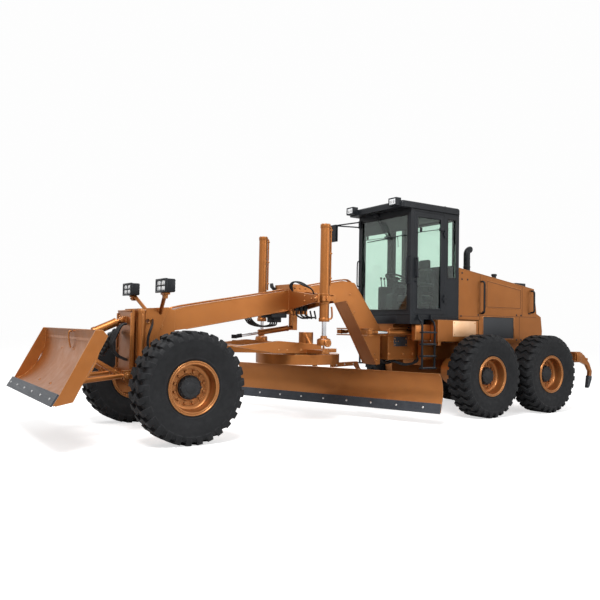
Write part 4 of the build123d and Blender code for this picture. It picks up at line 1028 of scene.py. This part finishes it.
def add_cab():
    """Window seals, and what rides on the doors."""
    seals = Shape()
    seals.frame((CAB_FRONT - 0.012, -0.617, 1.748), (CAB_FRONT + 0.003, 0.617, 3.372), 0, 0.03, 0.004)
    seals.frame((CAB_REAR - 0.003, -0.582, 2.548), (CAB_REAR + 0.012, 0.582, 3.362), 0, 0.026, 0.004)
    for _ in both_sides(seals):
        seals.frame((-1.222, CAB_HALF - 0.012, 2.318), (-0.988, CAB_HALF + 0.003, 3.362), 1, 0.026, 0.004)
    seals.done("window_seals", "rear_frame", "hose_rubber")
    for side, hand in SIDES:
        door = Shape(side=side)
        door.frame((-0.868, CAB_HALF - 0.01, 1.772), (-0.282, CAB_HALF + 0.004, 3.338), 1, 0.03, 0.004)
        # wiper across the door's glass
        y = 0.698
        door.tube([(-0.275, y, 3.04), (-0.53, y, 3.092), (-0.815, y, 3.145)], 0.006, 8, 2)
        door.block((-0.86, 0.682, 3.115), (-0.79, 0.722, 3.175), 0.01)
        door.block((-0.395, 0.684, 3.06), (-0.345, 0.7, 3.135), 0.008)
        door.block((-0.3, 0.681, 2.3), (-0.246, 0.69, 2.64), 0.008)
        door.rod((-0.268, 0.69, 2.24), (-0.268, 0.712, 2.24), 0.016)
        door.done(f"door_trim_{hand}", f"door_{hand}", "black_paint")


def add_cab_trim():
    """Wipers, grab handles, what stands on the roof, the sun band and the seams."""
    trim = Shape()
    x = CAB_FRONT + 0.014
    trim.tube([(x, -0.215, 3.43), (x + 0.012, -0.05, 3.22), (x, 0.12, 3.0)], 0.007, 8, 3)
    trim.tube([(x, -0.15, 3.43), (x + 0.012, 0.0, 3.22), (x, 0.135, 3.0)], 0.005, 8, 3)
    trim.tube([(x - 0.004, -0.42, 2.975), (x - 0.004, 0.12, 2.99), (x - 0.004, 0.548, 3.012)], 0.008, 8, 3)
    trim.block((x - 0.012, -0.245, 3.4), (x + 0.02, -0.12, 3.455), 0.008)
    trim.block((x - 0.01, 0.1, 2.975), (x + 0.016, 0.15, 3.012), 0.006)
    for _ in both_sides(trim):
        # grab handles on the front pillars
        y = 0.64
        trim.tube([(CAB_FRONT, y, 2.2), (CAB_FRONT + 0.055, y, 2.215), (CAB_FRONT + 0.062, y, 2.4),
                   (CAB_FRONT + 0.055, y, 2.63), (CAB_FRONT, y, 2.645)], 0.011)
        trim.tube([(-1.1, 0.697, 3.205), (-1.118, 0.702, 3.12), (-1.12, 0.697, 3.0)], 0.006, 8, 3)
    # knob and three pads on the roof
    trim.lathe((-1.05, 0.56, ROOF_Z), Z, [(0.04, 0), (0.04, 0.01), (0.018, 0.018), (0.016, 0.037)], 24)
    for k in range(3):
        trim.block((-0.98, -0.3 + 0.2 * k, ROOF_Z), (-0.4, -0.22 + 0.2 * k, 3.56), 0.006)
    trim.done("cab_trim", "rear_frame", "black_paint")
    visor = Shape()
    visor.block((CAB_FRONT - 0.075, -0.6, 3.1), (CAB_FRONT - 0.058, 0.6, 3.365), 0.004)
    visor.block((-0.9, -0.56, 3.33), (CAB_FRONT - 0.08, 0.56, 3.375), 0.01)
    visor.done("sun_band", "rear_frame", "interior_plastic")
    sill = Shape()
    sill.block((CAB_FRONT - 0.002, -0.66, 1.69), (CAB_FRONT + 0.01, 0.66, 1.706), 0.004)
    for _ in both_sides(sill):
        sill.block((CAB_REAR + 0.02, 0.679, 1.66), (CAB_FRONT - 0.02, 0.686, 1.672), 0.002)
        sill.bolts((-0.98, -0.72, -0.46, -0.24), 0.6805, 1.632, Y, 0.009)
        sill.bolts(CAB_FRONT + 0.0005, 0.655, (1.7, 2.2, 2.9, 3.36), X, 0.008)
    sill.block((CAB_FRONT - 0.002, -0.35, 1.56), (CAB_FRONT + 0.004, 0.35, 1.672), 0.002)
    sill.done("cab_seams", "rear_frame", "black_paint")


def add_interior():
    seat = Shape()
    seat.block((-1.12, -0.25, 1.905), (-0.65, 0.25, 2.055), 0.055)
    seat.block((-1.165, -0.235, 2.06), (-1.06, 0.235, 2.52), 0.05)
    seat.block((-1.165, -0.13, 2.53), (-1.085, 0.13, 2.7), 0.04)
    for _ in both_sides(seat):
        seat.block((-1.11, 0.185, 2.1), (-1.01, 0.24, 2.47), 0.025)
        seat.block((-1.06, 0.255, 2.2), (-0.76, 0.31, 2.26), 0.022)
    seat.done("seat_cushions", "rear_frame", "seat_fabric")
    controls = Shape()
    controls.block((-1.08, -0.2, CAB_FLOOR_Z), (-0.74, 0.2, 1.902), 0.03)
    controls.block((-0.43, -0.08, CAB_FLOOR_Z), (-0.29, 0.08, 2.06), 0.03)
    controls.tube([(-0.36, 0, 2.02), (-0.41, 0, 2.16), (-0.48, 0, 2.33)], 0.032, 16)
    at, axis = Vector((-0.48, 0, 2.33)), Vector((-0.34, 0, 0.94)).normalized()
    ring = [(0.2 + 0.016 * cos(2 * pi * k / 10), 0.016 * sin(2 * pi * k / 10)) for k in range(10)]
    controls.lathe(at, axis, ring, 40, closed=True)
    controls.lathe(at, axis, [(0.045, -0.012), (0.05, 0.004), (0.04, 0.018)], 24)
    along = Vector((0.94, 0, 0.34))
    for spoke in (Y, -Y, -along):
        controls.rod(at + spoke * 0.03, at + spoke * 0.195, 0.01, 10)
    for _ in both_sides(controls):
        controls.block((-0.7, 0.3, CAB_FLOOR_Z), (-0.38, 0.4, 2.2), 0.03)
        for k in range(4):
            x = -0.66 + 0.075 * k
            controls.rod((x, 0.35, 2.195), (x + 0.02, 0.35, 2.33), 0.008, 10)
            controls.lathe((x + 0.02, 0.35, 2.325), Z,
                           [(0.01, 0), (0.02, 0.014), (0.018, 0.034), (0.008, 0.042)], 14)
    controls.block((-0.36, -0.48, CAB_FLOOR_Z), (-0.25, 0.48, 1.76), 0.02)
    controls.done("cab_controls", "rear_frame", "interior_plastic", ["cab_interior"])


# ---- hood and rear half ----
HOOD_HALF, TAIL_LAMP_Y = 0.59, 0.47


def top_z(x):
    """Height of the hood's sloping top."""
    return 2.54 + (2.26 - 2.54) / (-3.44 + 1.38) * (x + 1.38)


def seam(shape, start, end, y, width, thickness):
    """Flat strip between two (x, z) points on a side wall."""
    start, end = Vector((start[0], y, start[1])), Vector((end[0], y, end[1]))
    along = (end - start).normalized()
    across = Vector((-along.z, 0, along.x)) * width / 2
    shape.plate([start - across, end - across, end + across, start + across], Y, thickness)


def add_hood():
    seams, panels, black, screen = Shape(), Shape(), Shape(), Shape()
    for _ in both_sides(seams, panels, black, screen):
        y = HOOD_HALF
        for start, end in (((-1.925, 1.64), (-1.925, 2.466)), ((-1.925, 1.722), (-3.51, 1.722)),
                           ((-3.01, 1.245), (-3.01, 1.722)), ((-3.09, 1.722), (-3.09, 2.3)),
                           ((-1.395, 1.7), (-1.925, 1.7))):
            seam(seams, start, end, y - 0.002, 0.005, 0.0035)
        # raised panel with a seam inside its border
        outline = [(-2.08, 1.86), (-3.055, 1.86), (-3.055, 2.235), (-2.08, 2.365)]
        panels.plate([(x, y, z) for x, z in outline], Y, 0.007)
        inner = [(-2.1, 1.88), (-3.035, 1.88), (-3.035, 2.218), (-2.1, 2.345)]
        for start, end in zip(inner, inner[1:] + inner[:1]):
            seam(seams, start, end, y + 0.006, 0.006, 0.0022)
        for x, z in ((-1.46, 2.455), (-1.46, 2.345), (-1.6, 2.345), (-1.44, 1.7), (-1.88, 1.73),
                     (-3.06, 1.75), (-2.93, 1.75), (-3.06, 1.29), (-2.93, 1.29)):
            black.boss((x, y, z), Y, 0.017, 0.003, 0.01, 0.005, 18)
        screen.block((-2.85, 0.584, 1.31), (-2.01, 0.5885, 1.7), 0.001)
        panels.frame((-2.868, y, 1.292), (-1.992, y + 0.006, 1.718), 1, 0.02, 0.003)
        # latches
        for x in (-2.02, -3.3):
            black.block((x - 0.03, y, 1.775), (x + 0.03, y + 0.01, 1.8), 0.004)
        # bead along the hood's top edge
        panels.tube([(-1.385, 0.592 * 0.992, 2.536), (-3.435, 0.592 * 0.992, 2.258)], 0.008, 8)
    # round cap and two boxes on the hood's top, with its vents
    black.lathe((-2.4, 0.5, top_z(-2.4) - 0.004), Z,
                [(0.04, 0), (0.04, 0.06), (0.052, 0.064), (0.052, 0.092), (0.04, 0.1)], 28)
    for _ in both_sides(black):
        black.block((-3.27, 0.34, top_z(-3.27) - 0.004), (-2.99, 0.53, top_z(-3.13) + 0.062), 0.01)
    for k in range(7):
        x = -2.6 - 0.05 * k
        black.block((x - 0.012, -0.24, top_z(x) - 0.004), (x + 0.012, 0.24, top_z(x) + 0.008), 0.003)
    # collars of the exhaust
    black.boss((-1.95, 0.25, top_z(-1.95) - 0.006), Z, 0.08, 0.018, 0.066, 0.026, 32)
    black.lathe((-1.95, 0.25, 2.6), Z, [(0.0605, 0), (0.066, 0.003), (0.066, 0.024), (0.0605, 0.028)], 32)
    # rear grille with its slats, and bezels of the tail lamps
    screen.block((-3.492, -0.4, 1.85), (-3.478, 0.4, 2.18), 0.002)
    for k in range(9):
        black.block((-3.512, -0.398, 1.868 + 0.036 * k), (-3.484, 0.398, 1.878 + 0.036 * k), 0.002)
    for _ in both_sides(black):
        black.frame((-3.7, TAIL_LAMP_Y - 0.07, 1.52), (-3.664, TAIL_LAMP_Y + 0.07, 1.66), 0, 0.016, 0.003)
    seams.done("hood_seams", "rear_frame", "hose_rubber")
    panels.done("hood_panels", "rear_frame")
    black.done("hood_fittings", "rear_frame", "black_paint")
    screen.done("hood_screens", "rear_frame", "mesh_screen", ["engine_grilles"])
    tail = Shape()
    for _ in both_sides(tail):
        tail.block((-3.69, TAIL_LAMP_Y - 0.054, 1.536), (-3.672, TAIL_LAMP_Y + 0.054, 1.644), 0.004)
    tail.done("tail_lamps", "rear_frame", "lamp_glass")


def add_side_boxes():
    pale, trim = Shape(), Shape()
    for _ in both_sides(pale, trim):
        y = 0.8
        pale.block((-1.585, y, 1.345), (-1.018, y + 0.006, 1.608), 0.003)
        trim.bolts((-1.555, -1.048), y + 0.005, (1.378, 1.575), Y, 0.008)
        trim.block((-0.672, 0.66, 1.604), (-0.666, 0.79, 1.612), 0.001)
        trim.tube([(-0.672, 0.798, 1.262), (-0.672, 0.798, 1.616)], 0.006, 8)
        trim.block((-0.7, 0.53, 1.27), (-0.33, 0.625, 1.535), 0.008)
        trim.block((-0.69, 0.625, 1.29), (-0.34, 0.631, 1.515), 0.003)
    trim.boss((-1.2, -0.72, 1.6175), Z, 0.055, 0.016, 0.047, 0.02)
    pale.done("side_panels", "rear_frame", "pale_panel")
    trim.done("side_box_trim", "rear_frame")


TANDEM_X, TANDEM_REACH, TANDEM_Z = -2.285, 0.786, 0.76


def add_rear_frame():
    trim, dark, window = Shape(), Shape(), Shape()
    for _ in both_sides(window, trim, dark):
        y = 0.26
        window.block((-0.488, y, 1.162), (-0.186, y + 0.004, 1.322), 0.002)
        for k in range(4):
            trim.bolt((-0.12 - 0.055 * k, y + 0.0035, 1.245), Y, 0.006)
        trim.bolts((-0.085, -0.405, -0.62), y, 1.03, Y, 0.016)
        for x, z in ((-0.46, 1.19), (-0.46, 1.29), (-0.21, 1.19), (-0.21, 1.29)):
            trim.bolt((x, y + 0.004, z), Y, 0.009)
        trim.tube([(-0.75, y - 0.003, 0.944), (-0.065, y - 0.003, 0.944)], 0.008, 8)
        # caps of the articulation cylinders' pins
        trim.boss((-0.56, 0.4, 1.4355), Z, 0.042, 0.01, 0.034, 0.014, 26)
        dark.tube([(-0.72, 0.28, 1.0), (-0.66, 0.31, 0.9), (-0.45, 0.29, 0.86), (-0.25, 0.24, 0.9),
                   (-0.16, 0.16, 0.936)], 0.02)
        dark.tube([(-0.74, 0.24, 0.98), (-0.62, 0.25, 0.87), (-0.42, 0.22, 0.85), (-0.24, 0.15, 0.938)],
                  0.014)
        # final drive covers at both ends of each tandem case
        for x in (TANDEM_X - TANDEM_REACH, TANDEM_X + TANDEM_REACH):
            trim.bolt_circle((x, 0.7995, TANDEM_Z), Y, 0.15, 10, 0.011)
        trim.block((-3.1, 0.7, 0.979), (-1.47, 0.79, 0.992), 0.005)
    trim.block((-0.8, -0.54, 1.33), (-0.755, 0.54, 1.615), 0.006)
    trim.boss((0, 0, 0.9395), -Z, 0.045, 0.012, 0.036, 0.018, 30)
    trim.bolts(-3.6505, (-0.42, -0.3, 0.3, 0.42), (1.0, 1.18), -X, 0.015)
    window.done("side_window", "rear_frame", "edge_steel")
    trim.done("rear_frame_trim", "rear_frame")
    dark.done("driveline_hoses", "rear_frame", "hose_rubber")


def add_articulation():
    for side, hand in SIDES:
        y = 0.4
        band = Shape(side=side)
        start = joint_point(f"articulation_barrel_{hand}")
        z = start.z
        band.lathe((start.x + 0.07, y, z), X, [(0.04, 0), (0.05, 0.003), (0.05, 0.03), (0.0465, 0.034)], 30)
        band.lathe((start.x + 0.595, y, z), X,
                   [(0.0465, 0), (0.053, 0.004), (0.053, 0.04), (0.044, 0.046), (0.027, 0.048)], 30)
        band.tube([(start.x + 0.1, y, z + 0.048), (start.x + 0.13, y, z + 0.072),
                   (start.x + 0.54, y, z + 0.072), (start.x + 0.6, y, z + 0.05)], 0.008)
        band.done(f"articulation_bands_{hand}", f"articulation_barrel_{hand}")
        eye = Shape(side=side)
        eye.lathe((0.45, y, z - 0.034), Z, [(0.046, 0), (0.05, 0.004), (0.05, 0.064), (0.046, 0.068)], 30)
        eye.lathe((0.3, y, z), X, [(0.026, 0), (0.034, 0.003), (0.034, 0.1), (0.04, 0.112)], 26)
        eye.done(f"articulation_eye_{hand}", f"articulation_rod_{hand}")
        hose = Shape(side=side)
        hose.tube([(-0.46, 0.262, 1.32), (-0.45, 0.3, 1.43), (-0.42, 0.36, 1.48), (-0.4, 0.4, 1.47)], 0.011)
        hose.done(f"articulation_hose_{hand}", "rear_frame", "hose_rubber")


def add_centre_shift():
    barrel = joint_point("centre_shift_barrel")
    run = Vector((0.86, -0.34, -0.16)).normalized()
    trim = Shape()
    trim.lathe(barrel + run * 0.075, run, [(0.038, 0), (0.046, 0.003), (0.046, 0.03), (0.0425, 0.034)], 28)
    trim.lathe(barrel + run * 0.52, run,
               [(0.0425, 0), (0.05, 0.004), (0.05, 0.036), (0.04, 0.044), (0.026, 0.046)], 28)
    trim.done("centre_shift_bands", "centre_shift_barrel")
    end = barrel + Vector((0.86, -0.34, -0.16))
    eye = Shape()
    eye.lathe(end - Vector((0, 0, 0.03)), Z, [(0.042, 0), (0.046, 0.004), (0.046, 0.056), (0.042, 0.06)], 28)
    eye.lathe(end - run * 0.12, run, [(0.025, 0), (0.032, 0.003), (0.032, 0.08)], 24)
    eye.done("centre_shift_eye", "centre_shift_rod", "cast_iron")


# (back x, its z, front x, its z, half width) of a tip, from its top to its point
RIPPER_TIP = ((-4.638, 0.6, -4.54, 0.615, 0.034), (-4.622, 0.53, -4.528, 0.53, 0.034),
              (-4.56, 0.4, -4.5, 0.4, 0.032), (-4.53, 0.377, -4.504, 0.377, 0.028))


def add_ripper():
    tips, trim = Shape(), Shape()
    for y in (-1.0, -0.5, 0.0, 0.5, 1.0):
        tips.loft([
            [(back, y - half, back_z), (back, y + half, back_z), (front, y + half, front_z),
             (front, y - half, front_z)]
            for back, back_z, front, front_z, half in RIPPER_TIP
        ])
        trim.lathe((-4.475, y, 0.935), Y, [(0.02, -0.04), (0.024, -0.036), (0.024, 0.036), (0.02, 0.04)], 20)
        for z in (0.93, 1.03):
            for off in (-0.04, 0.04):
                trim.bolt((-4.2405, y + off, z), -X, 0.009)
    for _ in both_sides(trim):
        trim.boss((-3.75, 0.2585, 0.84), Y, 0.048, 0.002, 0.042, 0.003)
        trim.block((-4.244, 1.076, 0.896), (-4.076, 1.084, 1.064), 0.003)
    tips.done("ripper_tips", "ripper", "edge_steel")
    trim.done("ripper_trim", "ripper")


def add_ladders_and_mirror():
    treads, glass = Shape(), Shape()
    for _ in both_sides(treads):
        for z in (0.836, 1.03, 1.224, 1.418):
            for k in range(9):
                x = -0.575 + 0.03 * k
                treads.block((x - 0.006, 0.752, z - 0.002), (x + 0.006, 0.838, z + 0.004), 0.001)
    treads.block((0.102, -1.132, 3.04), (0.108, -0.968, 3.318), 0.002)
    treads.done("step_grips", "rear_frame", "edge_steel")
    glass.block((0.098, -1.118, 3.05), (0.1035, -0.982, 3.308), 0.001)
    glass.done("mirror_glass", "rear_frame", "chrome")


add_wheels()
add_blade()
add_circle()
add_drawbar()
add_lift_cylinders()
add_saddle()
add_front_frame()
add_lamps()
add_front_axle()
add_scoop()
add_scoop_carriage()
add_scoop_lift()
add_cab()
add_cab_trim()
add_interior()
add_hood()
add_side_boxes()
add_rear_frame()
add_articulation()
add_centre_shift()
add_ripper()
add_ladders_and_mirror()
